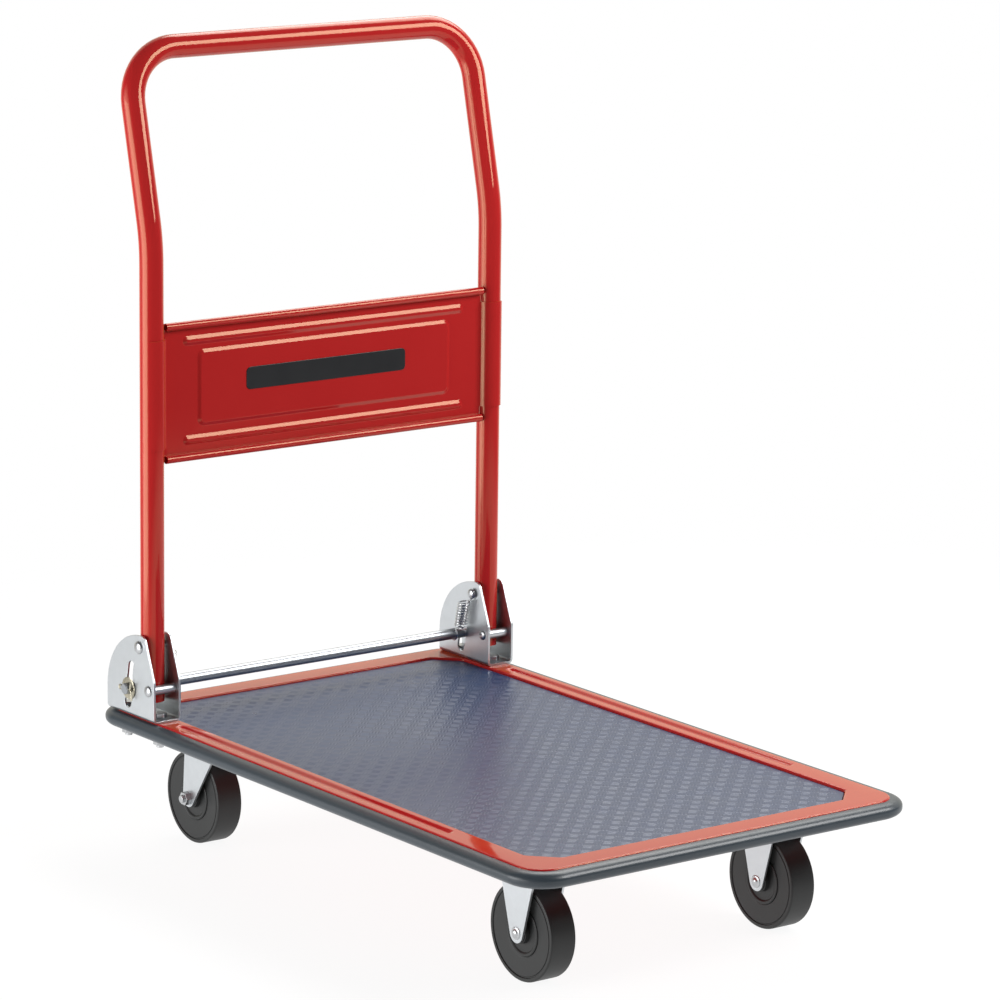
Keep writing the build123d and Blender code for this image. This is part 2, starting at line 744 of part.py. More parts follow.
def rear_axle_bolt(name, side):
    """A hex bolt through a rear fork, its head on the side towards the cart's middle."""
    head = side * (wheel_y - fork_half)
    end = side * (wheel_y + fork_half + nut_height + nut_thread_length)
    with BuildPart() as bolt:
        rod(rear_axle_x, head, end, wheel_radius, axle_radius)
        extrude(hexagon(side_plane(rear_axle_x, head, wheel_radius)), amount=side * hex_head_height)
    save(bolt, name)


def rear_axle_nut(name, side):
    """The nut on a rear axle bolt, on the side that faces out."""
    seat = side * (wheel_y + fork_half)
    with BuildPart() as nut:
        extrude(hexagon(side_plane(rear_axle_x, seat, wheel_radius)), amount=-side * nut_height)
        rod(rear_axle_x, seat, seat + side * nut_height, wheel_radius, axle_radius + seat_gap, Mode.SUBTRACT)
    save(nut, name)


def tyre(name, x, y):
    """A solid rubber tyre with a flat tread, round shoulders and dished flanks."""
    rim = wheel_width / 2
    flank = rim - flank_dish
    half_outline = [(core_width / 2, core_radius), (flank, core_radius + flank_dish),
                    (flank, wheel_radius - rim_band - flank_dish), (rim, wheel_radius - rim_band),
                    (rim, wheel_radius)]
    with BuildPart() as rubber:
        with BuildSketch(axle_plane(x, y)) as section:
            with BuildLine():
                Polyline(*half_outline, *[(-a, r) for a, r in reversed(half_outline)], close=True)
            make_face()
            fillet(section.vertices().group_by(Axis.Y)[-1], radius=tread_shoulder)
        revolve(axis=Axis((x, y, wheel_radius), (0, 1, 0)))
    save(rubber, name)


def hub(name, x, y):
    """A moulded hub: bearing boss, web and the raised ring that the tyre sits on."""
    bore = sleeve_radius + running_gap
    ring_half = core_width / 2 + core_lip
    ring_inner = core_radius - hub_ring_width
    half_outline = [(hub_length / 2, bore), (hub_length / 2, hub_boss_radius),
                    (hub_web / 2, hub_boss_radius), (hub_web / 2, ring_inner),
                    (ring_half, ring_inner), (ring_half, core_radius)]
    with BuildPart() as core:
        with BuildSketch(axle_plane(x, y)):
            with BuildLine():
                Polyline(*half_outline, *[(-a, r) for a, r in reversed(half_outline)], close=True)
            make_face()
        revolve(axis=Axis((x, y, wheel_radius), (0, 1, 0)))
    save(core, name)


def axle_sleeve(name, x, y):
    """The tube clamped between a fork's legs that the hub turns on."""
    with BuildPart() as sleeve:
        rod(x, y - fork_gap / 2, y + fork_gap / 2, wheel_radius, sleeve_radius)
        rod(x, y - fork_gap / 2, y + fork_gap / 2, wheel_radius, axle_radius + seat_gap, Mode.SUBTRACT)
    save(sleeve, name)


for hand, side in sides.items():
    front_fork(f"front_fork_{hand}", side)
    front_axle(f"front_axle_{hand}", side)
    swivel_plate(f"swivel_plate_{hand}", side)
    rear_fork(f"rear_fork_{hand}", side)
    swivel_balls(f"swivel_balls_{hand}", side)
    kingpin(f"kingpin_{hand}", side)
    rear_axle_bolt(f"rear_axle_bolt_{hand}", side)
    rear_axle_nut(f"rear_axle_nut_{hand}", side)
    for place, x in (("front", front_axle_x), ("rear", rear_axle_x)):
        tyre(f"tyre_{place}_{hand}", x, side * wheel_y)
        hub(f"hub_{place}_{hand}", x, side * wheel_y)
        axle_sleeve(f"axle_sleeve_{place}_{hand}", x, side * wheel_y)

print("handle pivot", round(leg_x, 2), round(pivot_z, 2), "leg spacing", round(2 * leg_y, 2))
print("lock bar", round(bar_x, 2), round(bar_z, 2), "leg end radius", round(leg_end_radius, 2))
print("deck top", round(deck_top, 2), "mat top", round(recess_floor + mat_thickness, 2))
print("wheels", round(front_axle_x, 2), round(rear_axle_x, 2), round(wheel_y, 2), "swivel", round(swivel_x, 2))
print("handle top", round(upper_z + tube_radius, 2))
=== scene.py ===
# %% [markdown]
# # Dressing a folding platform cart
# The cart's construction is already made as solids, packed in one frame.
# This lesson gives it its looks: pressed and painted sheet, zinc-plated brackets, rubber and wire.
# Every piece is modelled in the same frame, in metres, so nothing has to be fitted afterwards.

# %% Load the frame
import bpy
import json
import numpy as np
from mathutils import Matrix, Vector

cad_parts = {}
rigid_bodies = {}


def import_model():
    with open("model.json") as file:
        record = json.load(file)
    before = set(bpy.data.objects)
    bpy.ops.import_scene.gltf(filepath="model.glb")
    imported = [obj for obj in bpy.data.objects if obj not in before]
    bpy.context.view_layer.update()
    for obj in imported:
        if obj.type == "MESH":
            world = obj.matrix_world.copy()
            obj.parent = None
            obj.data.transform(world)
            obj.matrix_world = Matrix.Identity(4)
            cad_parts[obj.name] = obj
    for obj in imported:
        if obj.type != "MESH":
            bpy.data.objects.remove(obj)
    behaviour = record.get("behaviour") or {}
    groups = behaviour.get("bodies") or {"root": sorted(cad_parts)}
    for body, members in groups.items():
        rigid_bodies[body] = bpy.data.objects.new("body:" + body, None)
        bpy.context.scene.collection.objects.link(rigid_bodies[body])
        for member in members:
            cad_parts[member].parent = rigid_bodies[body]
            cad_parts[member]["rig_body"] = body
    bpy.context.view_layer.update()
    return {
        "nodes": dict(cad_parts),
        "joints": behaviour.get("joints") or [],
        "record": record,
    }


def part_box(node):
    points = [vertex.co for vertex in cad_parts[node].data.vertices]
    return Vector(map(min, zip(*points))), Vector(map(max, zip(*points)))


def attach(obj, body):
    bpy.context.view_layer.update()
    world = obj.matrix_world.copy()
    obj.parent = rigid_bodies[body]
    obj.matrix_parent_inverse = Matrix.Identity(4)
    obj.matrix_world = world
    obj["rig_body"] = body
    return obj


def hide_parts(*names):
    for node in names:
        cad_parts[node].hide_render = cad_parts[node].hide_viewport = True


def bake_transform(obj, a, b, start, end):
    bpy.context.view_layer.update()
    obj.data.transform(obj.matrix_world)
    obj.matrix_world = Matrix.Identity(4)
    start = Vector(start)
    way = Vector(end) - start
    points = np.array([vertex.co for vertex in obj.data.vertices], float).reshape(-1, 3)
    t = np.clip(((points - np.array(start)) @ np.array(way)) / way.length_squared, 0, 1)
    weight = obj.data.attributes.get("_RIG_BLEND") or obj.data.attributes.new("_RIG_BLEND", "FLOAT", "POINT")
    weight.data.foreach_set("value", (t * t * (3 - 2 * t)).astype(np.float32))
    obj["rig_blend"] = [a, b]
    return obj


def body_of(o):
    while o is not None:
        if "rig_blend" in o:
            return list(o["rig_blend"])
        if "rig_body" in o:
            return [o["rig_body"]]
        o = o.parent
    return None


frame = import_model()

# %% [markdown]
# ## The bench
# A person modelling by hand picks a face or an edge by eye. A script picks it by its place instead,
# so the first helpers go in and out of edit mode and select by a test.
# Sizes are written in millimetres and turned into metres by one factor.

# %% Selecting by place
import json
from math import atan2, cos, pi, radians, sin, tan, tau

import bmesh
import bpy
from mathutils import Matrix, Vector

MM = 0.001
SELECT_MODES = {"faces": "FACE", "edges": "EDGE", "verts": "VERT"}


def put_down():
    """Leaves edit mode and deselects everything."""
    if bpy.context.object and bpy.context.object.mode != "OBJECT":
        bpy.ops.object.mode_set(mode="OBJECT")
    bpy.ops.object.select_all(action="DESELECT")


def take(piece, mode="OBJECT"):
    """Makes one piece the only selected one."""
    put_down()
    piece.select_set(True)
    bpy.context.view_layer.objects.active = piece
    bpy.ops.object.mode_set(mode=mode)


def middle(item):
    """The middle of a face, edge or vertex."""
    if isinstance(item, bmesh.types.BMVert):
        return item.co
    return sum((v.co for v in item.verts), Vector()) / len(item.verts)


def pick(kind, test):
    """In edit mode, selects the faces, edges or verts that pass a test, and returns how many."""
    bpy.ops.mesh.select_mode(type=SELECT_MODES[kind])
    bpy.ops.mesh.select_all(action="DESELECT")
    mesh = bmesh.from_edit_mesh(bpy.context.edit_object.data)
    chosen = [item for item in getattr(mesh, kind) if test(item)]
    for item in chosen:
        item.select_set(True)
    bmesh.update_edit_mesh(bpy.context.edit_object.data)
    return len(chosen)


def pick_all():
    """In edit mode, selects everything."""
    bpy.ops.mesh.select_all(action="SELECT")


# %% Finishing a piece
FACE_WEIGHT = 100
nodes = frame["nodes"]
slots = {entry["node"]: entry["material_slot"] for entry in frame["record"]["subparts"]}


def apply_modifier(piece, kind, **settings):
    """Adds a modifier with its settings and applies it."""
    take(piece)
    bpy.ops.object.modifier_add(type=kind)
    modifier = piece.modifiers[-1]
    for name, value in settings.items():
        setattr(modifier, name, value)
    bpy.ops.object.modifier_apply(modifier=modifier.name)


def put_in_place():
    """Moves the place, turn and scale of the selected piece into its mesh."""
    bpy.ops.object.transform_apply(location=True, rotation=True, scale=True)


def settle(piece, finish, *stands_for, like=None, crease=35):
    """Shades and paints a finished piece, and ties it to the CAD.

    It takes the place of the nodes that it stands for, or goes with the node that it is like.
    """
    take(piece)
    put_in_place()
    bpy.ops.object.shade_smooth_by_angle(angle=radians(crease))
    apply_modifier(piece, "WEIGHTED_NORMAL", weight=FACE_WEIGHT, keep_sharp=True)
    piece.data.materials.clear()
    piece.data.materials.append(finish)
    partner = like or stands_for[0]
    body = body_of(nodes[partner])[0]
    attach(piece, body)
    if stands_for:
        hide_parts(*stands_for)
    print(piece.name, "faces", len(piece.data.polygons), "on", body)


def settle_pair(pair, finish, node, crease):
    """Settles two pieces that stand for one CAD node between them."""
    settle(pair[0], finish, node, crease=crease)
    settle(pair[1], finish, like=node, crease=crease)


print("material slots", sorted(set(slots.values())))

# %% [markdown]
# ## Camera
# The camera stands where the picture was taken from: a long lens, to the right of the cart's front.
# Its angles and distance come from fitting the wheels, tubes and deck edges at their real sizes.

# %% Camera at the picture's viewpoint
LENS = 173.02
CLIP_END = 50
VIEW_AZIMUTH = radians(52.97)
VIEW_ELEVATION = radians(12.37)
VIEW_ROLL = radians(0.72)
VIEW_DISTANCE = 4909.8 * MM
VIEW_TARGET = Vector((8.56, 0, 412.75)) * MM

towards_camera = Vector((sin(VIEW_AZIMUTH) * cos(VIEW_ELEVATION),
                         -cos(VIEW_AZIMUTH) * cos(VIEW_ELEVATION), sin(VIEW_ELEVATION)))
level_right = Vector((cos(VIEW_AZIMUTH), sin(VIEW_AZIMUTH), 0))
level_up = towards_camera.cross(level_right)
picture_right = level_right * cos(VIEW_ROLL) + level_up * sin(VIEW_ROLL)
picture_up = towards_camera.cross(picture_right)
picture_axes = Matrix((picture_right, picture_up, towards_camera)).transposed()

put_down()
bpy.ops.object.camera_add(location=VIEW_TARGET + towards_camera * VIEW_DISTANCE)
camera = bpy.context.object
camera.rotation_euler = picture_axes.to_euler()
camera.data.lens = LENS
camera.data.clip_end = CLIP_END
bpy.context.scene.camera = camera
print("camera at", [round(c, 3) for c in camera.location])

# %% [markdown]
# ## Studio
# Gloss paint shows its surroundings, so the studio is part of the finish.
# A key light stands on the right, a second one stands on the floor to the left, and a third
# hangs behind. The backdrop is pale, a bright screen stands to the left, and the rest of the room
# is dark. Rounded edges then show a bright line where they face a light, level faces take a pale
# sheen from the backdrop, and upright faces stay deep red.
# The floor is white paper that fades into a white surround.

# %% Node helper
# A mix node has a set of sockets for each kind of value. These are the places of its colour sockets.
MIX_SHARE = 0
MIX_FIRST = 6
MIX_SECOND = 7
MIX_COLOUR = 2


def srgb(code):
    """A hex colour as linear red, green, blue and alpha."""
    shares = [int(code[i:i + 2], 16) / 255 for i in (1, 3, 5)]
    linear = [s / 12.92 if s <= 0.04045 else ((s + 0.055) / 1.055) ** 2.4 for s in shares]
    return (*linear, 1.0)


def blank(owner):
    """Gives a material or a world an empty set of nodes."""
    owner.use_nodes = True
    owner.node_tree.nodes.clear()
    return owner


def add(owner, kind, feeds=None, **settings):
    """Adds a node with its settings.

    Each input that feeds names, by its label or its place, takes a value or another node's output.
    """
    node = owner.node_tree.nodes.new(kind)
    for name, value in settings.items():
        setattr(node, name, value)
    for name, feed in (feeds or {}).items():
        if isinstance(feed, bpy.types.NodeSocket):
            owner.node_tree.links.new(feed, node.inputs[name])
        else:
            node.inputs[name].default_value = feed
    return node


# %% Walls round the studio
BACKDROP = srgb("#F4F0E4")
BACKDROP_START = 0.35
BACKDROP_FULL = 0.65
DARK_ROOM = srgb("#606062")
WHITE = srgb("#FFFFFF")
SCREEN_TURN = radians(-66)
SCREEN_DROP = Vector((0, 0, 0.2))
SCREEN_START = 0.75
SCREEN_FULL = 0.97
SCREEN_BRIGHTNESS = 3.1

world = blank(bpy.data.worlds.new("studio"))
bpy.context.scene.world = world
bpy.context.scene.view_settings.view_transform = "Standard"

level_towards = Vector((sin(VIEW_AZIMUTH), -cos(VIEW_AZIMUTH), 0))
around = add(world, "ShaderNodeTexCoord").outputs["Generated"]
behind = add(world, "ShaderNodeVectorMath", {0: around, 1: -level_towards},
             operation="DOT_PRODUCT")
paleness = add(world, "ShaderNodeMapRange",
               {"Value": behind.outputs["Value"],
                "From Min": BACKDROP_START, "From Max": BACKDROP_FULL},
               interpolation_type="SMOOTHSTEP")
walls = add(world, "ShaderNodeMix",
            {MIX_SHARE: paleness.outputs["Result"], MIX_FIRST: DARK_ROOM, MIX_SECOND: BACKDROP},
            data_type="RGBA")
screen_way = level_towards * cos(SCREEN_TURN) + level_right * sin(SCREEN_TURN) - SCREEN_DROP
sideways = add(world, "ShaderNodeVectorMath", {0: around, 1: screen_way.normalized()},
               operation="DOT_PRODUCT")
screen = add(world, "ShaderNodeMapRange",
             {"Value": sideways.outputs["Value"],
              "From Min": SCREEN_START, "From Max": SCREEN_FULL, "To Max": SCREEN_BRIGHTNESS},
             interpolation_type="SMOOTHSTEP")
glow = add(world, "ShaderNodeVectorMath",
           {0: walls.outputs[MIX_COLOUR], 1: screen.outputs["Result"]}, operation="ADD")
rays = add(world, "ShaderNodeLightPath")
seen = add(world, "ShaderNodeMix",
           {MIX_SHARE: rays.outputs["Is Camera Ray"], MIX_FIRST: glow.outputs["Vector"],
            MIX_SECOND: WHITE}, data_type="RGBA")
surround = add(world, "ShaderNodeBackground",
               {"Color": seen.outputs[MIX_COLOUR], "Strength": 1.0})
add(world, "ShaderNodeOutputWorld", {"Surface": surround.outputs["Background"]})
print("studio walls", len(world.node_tree.nodes), "nodes")


# %% Lights
def soft_light(name, aim, turn, rise, distance, width, height, brightness):
    """A soft box aimed at a point, turned to the right of the camera and raised, in degrees."""
    level = level_towards * cos(radians(turn)) + level_right * sin(radians(turn))
    way = level * cos(radians(rise)) + Vector((0, 0, sin(radians(rise))))
    put_down()
    bpy.ops.object.light_add(type="AREA", location=Vector(aim) + way * distance)
    light = bpy.context.object
    light.name = name
    light.data.shape = "RECTANGLE"
    light.data.size = width
    light.data.size_y = height
    light.data.energy = brightness * pi * width * height
    light.rotation_euler = (-way).to_track_quat("-Z", "Y").to_euler()


soft_light("key_light", aim=(-0.33, 0, 0.80), turn=76, rise=24, distance=2.3,
           width=1.5, height=1.1, brightness=10.3)
soft_light("left_light", aim=(-0.1, 0, 0.43), turn=-66, rise=0, distance=1.7,
           width=1.25, height=1.0, brightness=3.2)
soft_light("back_light", aim=(-0.1, 0, 0.5), turn=160, rise=45, distance=2.3,
           width=1.8, height=1.2, brightness=4.5)

# %% Floor
FLOOR_REACH = 1.8
FLOOR_SOLID = 1.0
FLOOR_SHIFT = 0.3
FADED_AT = 0.95
PAPER_SHADE = srgb("#565656")
PAPER_GLOW = 0.92

put_down()
bpy.ops.mesh.primitive_plane_add(size=2 * FLOOR_REACH, location=level_right * FLOOR_SHIFT)
floor = bpy.context.object
floor.name = "studio_floor"
floor_finish = blank(bpy.data.materials.new("white_paper_sweep"))
floor_place = add(floor_finish, "ShaderNodeTexCoord").outputs["Object"]
from_middle = add(floor_finish, "ShaderNodeVectorMath", {0: floor_place}, operation="LENGTH")
fade = add(floor_finish, "ShaderNodeMapRange",
           {"Value": from_middle.outputs["Value"],
            "From Min": FLOOR_SOLID, "From Max": FLOOR_REACH * FADED_AT},
           interpolation_type="SMOOTHSTEP")
paper = add(floor_finish, "ShaderNodeBsdfPrincipled",
            {"Base Color": PAPER_SHADE, "Roughness": 0.9, "Specular IOR Level": 0.1,
             "Emission Color": WHITE, "Emission Strength": PAPER_GLOW})
air = add(floor_finish, "ShaderNodeBsdfTransparent")
sweep = add(floor_finish, "ShaderNodeMixShader",
            {0: fade.outputs["Result"], 1: paper.outputs["BSDF"], 2: air.outputs["BSDF"]})
add(floor_finish, "ShaderNodeOutputMaterial", {"Surface": sweep.outputs["Shader"]})
floor.data.materials.append(floor_finish)
print("floor", floor.name, "reaches", FLOOR_REACH, "m")

# %% [markdown]
# ## Gloss red paint
# The pan, the handle and its panel are steel with a stoved gloss paint. One flat red would do from
# far off, but a real film is wet-looking, a little uneven where hands polish it, and faintly rippled
# like orange peel. At a grazing angle the red is mixed towards orange as a painted warm sheen, a
# painted reflection, so the border of the deck looks more orange than the upright panel.
# Colours are hex values, and every pattern's scale comes from a real size in millimetres.

# %% Gloss red stoved paint
NOISE_FALLOFF = 0.55
PAINT_DRIFT = 70 * MM
POLISHED_SPOT = 35 * MM
ORANGE_PEEL = 2.6 * MM
# Where a grazing angle starts and ends the painted warm sheen on the red.
PAINTED_SHEEN_START = 0.66
PAINTED_SHEEN_FULL = 0.80


def gloss_red_paint():
    """Stoved gloss paint on pressed steel: wet-looking, rippled, with a painted warm sheen edge-on."""
    paint = blank(bpy.data.materials.new("gloss_red_paint"))
    place = add(paint, "ShaderNodeTexCoord").outputs["Object"]
    drift = add(paint, "ShaderNodeTexNoise",
                {"Vector": place, "Scale": 1 / PAINT_DRIFT, "Detail": 2.0,
                 "Roughness": NOISE_FALLOFF})
    colour = add(paint, "ShaderNodeMix",
                 {MIX_SHARE: drift.outputs["Fac"], MIX_FIRST: srgb("#B32123"),
                  MIX_SECOND: srgb("#B92526")}, data_type="RGBA")
    glance = add(paint, "ShaderNodeLayerWeight", {"Blend": 0.5})
    painted_sheen_share = add(paint, "ShaderNodeMapRange",
                  {"Value": glance.outputs["Facing"],
                   "From Min": PAINTED_SHEEN_START, "From Max": PAINTED_SHEEN_FULL},
                  interpolation_type="SMOOTHSTEP")
    # Painted sheen: seen at a grazing angle, the red is mixed towards orange in place of a warm reflection.
    painted_sheen_colour = add(paint, "ShaderNodeMix",
                 {MIX_SHARE: painted_sheen_share.outputs["Result"], MIX_FIRST: colour.outputs[MIX_COLOUR],
                  MIX_SECOND: srgb("#C65831")}, data_type="RGBA")
    peel = add(paint, "ShaderNodeTexNoise",
               {"Vector": place, "Scale": 1 / ORANGE_PEEL, "Detail": 1.0,
                "Roughness": NOISE_FALLOFF})
    skin = add(paint, "ShaderNodeBump",
               {"Height": peel.outputs["Fac"], "Strength": 0.05, "Distance": 0.15 * MM})
    handled = add(paint, "ShaderNodeTexNoise",
                  {"Vector": place, "Scale": 1 / POLISHED_SPOT, "Detail": 4.0,
                   "Roughness": NOISE_FALLOFF})
    gloss = add(paint, "ShaderNodeMapRange",
                {"Value": handled.outputs["Fac"], "To Min": 0.05, "To Max": 0.09})
    shader = add(paint, "ShaderNodeBsdfPrincipled",
                 {"Base Color": painted_sheen_colour.outputs[MIX_COLOUR], "Roughness": gloss.outputs["Result"],
                  "Normal": skin.outputs["Normal"], "Specular Tint": srgb("#FFE8BC")})
    add(paint, "ShaderNodeOutputMaterial", {"Surface": shader.outputs["BSDF"]})
    return paint


red_paint = gloss_red_paint()
print(red_paint.name, len(red_paint.node_tree.nodes), "nodes")

# %% [markdown]
# ## Zinc plate
# Brackets, forks, fasteners, the lock bar and the springs are steel with a thin coat of zinc.
# Plain grey metal would look like plastic in the dark room. Rolling or drawing leaves fine marks
# along the metal, which blur its reflections one way, and the coat has faint crystal clouds.

# %% Zinc on rolled and drawn steel
ZINC_CLOUDS = 9 * MM
CLOUD_SHADE = 0.90
MARK_STRETCH = (1.0, 1.0, 0.06)
SHEEN_SPREAD = 0.07


def zinc_plate(name, tint, roughness, grain):
    """Zinc on steel: pale, with rolling marks and faint crystal clouds.

    Real marks are too fine to show, so the grain is drawn coarser.
    """
    zinc = blank(bpy.data.materials.new(name))
    place = add(zinc, "ShaderNodeTexCoord").outputs["Object"]
    clouds = add(zinc, "ShaderNodeTexNoise",
                 {"Vector": place, "Scale": 1 / ZINC_CLOUDS, "Detail": 3.0,
                  "Roughness": NOISE_FALLOFF})
    dark = tuple(c * CLOUD_SHADE for c in tint[:3]) + (1.0,)
    colour = add(zinc, "ShaderNodeMix",
                 {MIX_SHARE: clouds.outputs["Fac"], MIX_FIRST: dark, MIX_SECOND: tint},
                 data_type="RGBA")
    stretched = add(zinc, "ShaderNodeMapping", {"Vector": place, "Scale": MARK_STRETCH})
    lines = add(zinc, "ShaderNodeTexNoise",
                {"Vector": stretched.outputs["Vector"], "Scale": 1 / grain, "Detail": 2.0,
                 "Roughness": NOISE_FALLOFF})
    sheen = add(zinc, "ShaderNodeMapRange",
                {"Value": lines.outputs["Fac"],
                 "To Min": roughness - SHEEN_SPREAD, "To Max": roughness + SHEEN_SPREAD})
    marks = add(zinc, "ShaderNodeBump",
                {"Height": lines.outputs["Fac"], "Strength": 0.12, "Distance": 0.05 * MM})
    shader = add(zinc, "ShaderNodeBsdfPrincipled",
                 {"Base Color": colour.outputs[MIX_COLOUR], "Metallic": 1.0,
                  "Roughness": sheen.outputs["Result"], "Normal": marks.outputs["Normal"]})
    add(zinc, "ShaderNodeOutputMaterial", {"Surface": shader.outputs["BSDF"]})
    return zinc


bright_zinc = zinc_plate("bright_zinc_plate", srgb("#CED2D5"), 0.38, 0.8 * MM)
fastener_zinc = zinc_plate("fastener_zinc_plate", srgb("#C2C4C6"), 0.30, 0.6 * MM)
yellow_zinc = zinc_plate("yellow_passivated_zinc", srgb("#C4BEAA"), 0.28, 0.6 * MM)
spring_wire = zinc_plate("drawn_spring_wire", srgb("#DCDEE0"), 0.16, 0.4 * MM)
bar_steel = zinc_plate("drawn_bar_zinc", srgb("#ABAFB3"), 0.34, 0.5 * MM)
print("zinc finishes", [m.name for m in bpy.data.materials if "zinc" in m.name])

# %% [markdown]
# ## Rubber and vinyl
# The bumper and the mat are vinyl and the wheels are rubber, all moulded in one colour right through.
# A mould leaves a fine grit and a gloss that is not quite even, which keeps a dark piece from
# looking like a hole in the picture.

# %% Moulded rubber and vinyl
MOULD_DRIFT = 28 * MM
GLOSS_SPREAD = 0.06


def moulded(name, tint, shade, roughness, grit, depth):
    """Moulded rubber or vinyl: one colour through, fine grit, slightly uneven gloss.

    Real grit is too fine to show, so it is drawn coarser.
    """
    skin = blank(bpy.data.materials.new(name))
    place = add(skin, "ShaderNodeTexCoord").outputs["Object"]
    drift = add(skin, "ShaderNodeTexNoise",
                {"Vector": place, "Scale": 1 / MOULD_DRIFT, "Detail": 4.0,
                 "Roughness": NOISE_FALLOFF})
    colour = add(skin, "ShaderNodeMix",
                 {MIX_SHARE: drift.outputs["Fac"], MIX_FIRST: shade, MIX_SECOND: tint},
                 data_type="RGBA")
    mould = add(skin, "ShaderNodeTexNoise",
                {"Vector": place, "Scale": 1 / grit, "Detail": 2.0, "Roughness": NOISE_FALLOFF})
    bumps = add(skin, "ShaderNodeBump",
                {"Height": mould.outputs["Fac"], "Strength": 0.25, "Distance": depth})
    gloss = add(skin, "ShaderNodeMapRange",
                {"Value": drift.outputs["Fac"],
                 "To Min": roughness - GLOSS_SPREAD, "To Max": roughness + GLOSS_SPREAD})
    shader = add(skin, "ShaderNodeBsdfPrincipled",
                 {"Base Color": colour.outputs[MIX_COLOUR], "Roughness": gloss.outputs["Result"],
                  "Normal": bumps.outputs["Normal"]})
    add(skin, "ShaderNodeOutputMaterial", {"Surface": shader.outputs["BSDF"]})
    return skin


bumper_vinyl = moulded("slate_vinyl", srgb("#3A434A"), srgb("#343C43"), 0.34, 1.2 * MM, 0.04 * MM)
wheel_rubber = moulded("black_wheel_rubber", srgb("#1C1E1E"), srgb("#191B1B"), 0.50,
                       0.9 * MM, 0.06 * MM)
mat_vinyl = moulded("blue_grey_vinyl_mat", srgb("#1D3660"), srgb("#193057"), 0.30,
                    1.0 * MM, 0.03 * MM)
plate_black = moulded("black_satin_plate", srgb("#1C1D1F"), srgb("#191A1C"), 0.3,
                      1.0 * MM, 0.02 * MM)
print("finishes", [m.name for m in bpy.data.materials if m.users])

# %% [markdown]
# ## Deck pan
# The real deck is one pressing: a turned-down rim, a level border, a step down to a recess for the
# mat and a groove along each side that stiffens it. It could be cut from a block, but a press works
# on sheet. So a flat rounded outline is inset again and again, each time with a little rise or fall,
# and the sheet gets its thickness last.

# %% Terraces from one outline
CORNER_WELD = 0.1 * MM


def bend(radius, slope_from, slope_to, count=5):
    """Small inward steps round a bend, as (inward, rise); slopes are in degrees below level."""
    way = 1 if slope_to > slope_from else -1
    slopes = [radians(slope_from + (slope_to - slope_from) * i / count) for i in range(count + 1)]
    return [(radius * abs(sin(last) - sin(first)), way * radius * (cos(last) - cos(first)))
            for first, last in zip(slopes, slopes[1:])]


def terrace(steps):
    """Insets the selected face step by step, raising or lowering it each time."""
    for inward, rise in steps:
        bpy.ops.mesh.inset(thickness=inward, depth=rise)


def round_corners(corners):
    """Rounds or cuts the corners of the flat face being worked on, by (offset, segments)."""
    bpy.ops.mesh.select_mode(type="VERT")
    for offset, segments in corners:
        bpy.ops.mesh.select_linked()
        bpy.ops.mesh.bevel(offset=offset, segments=segments, affect="VERTICES")
    bpy.ops.mesh.select_linked()
    bpy.ops.mesh.remove_doubles(threshold=CORNER_WELD)
    bpy.ops.mesh.select_mode(type="FACE")
    bpy.ops.mesh.select_linked()


def outline(name, length, width, corners, height):
    """A flat outline over the origin, selected in edit mode."""
    put_down()
    bpy.ops.mesh.primitive_plane_add(size=1, location=(0, 0, height))
    piece = bpy.context.object
    piece.name = name
    piece.scale = (length, width, 1)
    put_in_place()
    take(piece, "EDIT")
    pick_all()
    round_corners(corners)
    return piece


# %% Patches pressed in a sheet
AXIS_X = 0
AXIS_Z = 2
TOUCH = 0.01 * MM
WELD = 0.02 * MM
FACING = 0.9
FULL_ROUND = 0.998
PATCH_SEGMENTS = 8
LYING = (0, 0, 0)
STANDING = (0, pi / 2, 0)


def near(one, other):
    """Whether two distances are the same, within a hundredth of a millimetre."""
    return abs(one - other) < TOUCH


def weld(distance=WELD):
    """Merges the verts of the piece being worked on that lie closer than a distance."""
    pick_all()
    bpy.ops.mesh.remove_doubles(threshold=distance)


def face_outwards():
    """Turns every face of the piece being worked on outwards."""
    pick_all()
    bpy.ops.mesh.normals_make_consistent(inside=False)


def round_ends(width):
    """Corners that make the ends of a long patch round, just short of meeting in one point."""
    return [(width / 2 * FULL_ROUND, PATCH_SEGMENTS)]


def press_patch(centre, turn, size, corners, steps):
    """Lays an outline on the sheet being worked on and presses it up or down."""
    bpy.ops.mesh.primitive_plane_add(size=1, location=centre, rotation=turn)
    bpy.ops.transform.resize(value=size, center_override=centre)
    round_corners(corners)
    terrace(steps)


def fill_round(axis, level):
    """Fills the sheet between its own edge and its patches, where it lies at a level on an axis."""
    pick("edges", lambda e: len(e.link_faces) < 2 and all(near(v.co[axis], level) for v in e.verts))
    bpy.ops.mesh.fill(use_beauty=True)
    pick("faces", lambda f: f.normal[axis] < -FACING and near(middle(f)[axis], level))
    bpy.ops.mesh.flip_normals()


# %% Pressing the pan
DECK_CORNER = 28 * MM
DECK_CORNER_SEGMENTS = 14
BORDER = 28.5 * MM
SHEET = 1.5 * MM
RIM_BEND = 2.0 * MM
RECESS_BEND = 2.5 * MM
RECESS_CUT = 25 * MM
RECESS_ROUND = 6 * MM
CUT_GROWTH = 2 - 2 ** 0.5
pan_low, pan_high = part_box("deck_pan")
mat_low, mat_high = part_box("deck_mat")
deck_top = pan_high.z
deck_length = pan_high.x - pan_low.x
deck_width = pan_high.y - pan_low.y


def cut_corners(growth):
    """The recess's corners, cut at 45 degrees and eased, for its outline grown by some distance."""
    return [(RECESS_CUT + CUT_GROWTH * growth, 1), ((RECESS_ROUND + growth) * tan(pi / 8), 4)]


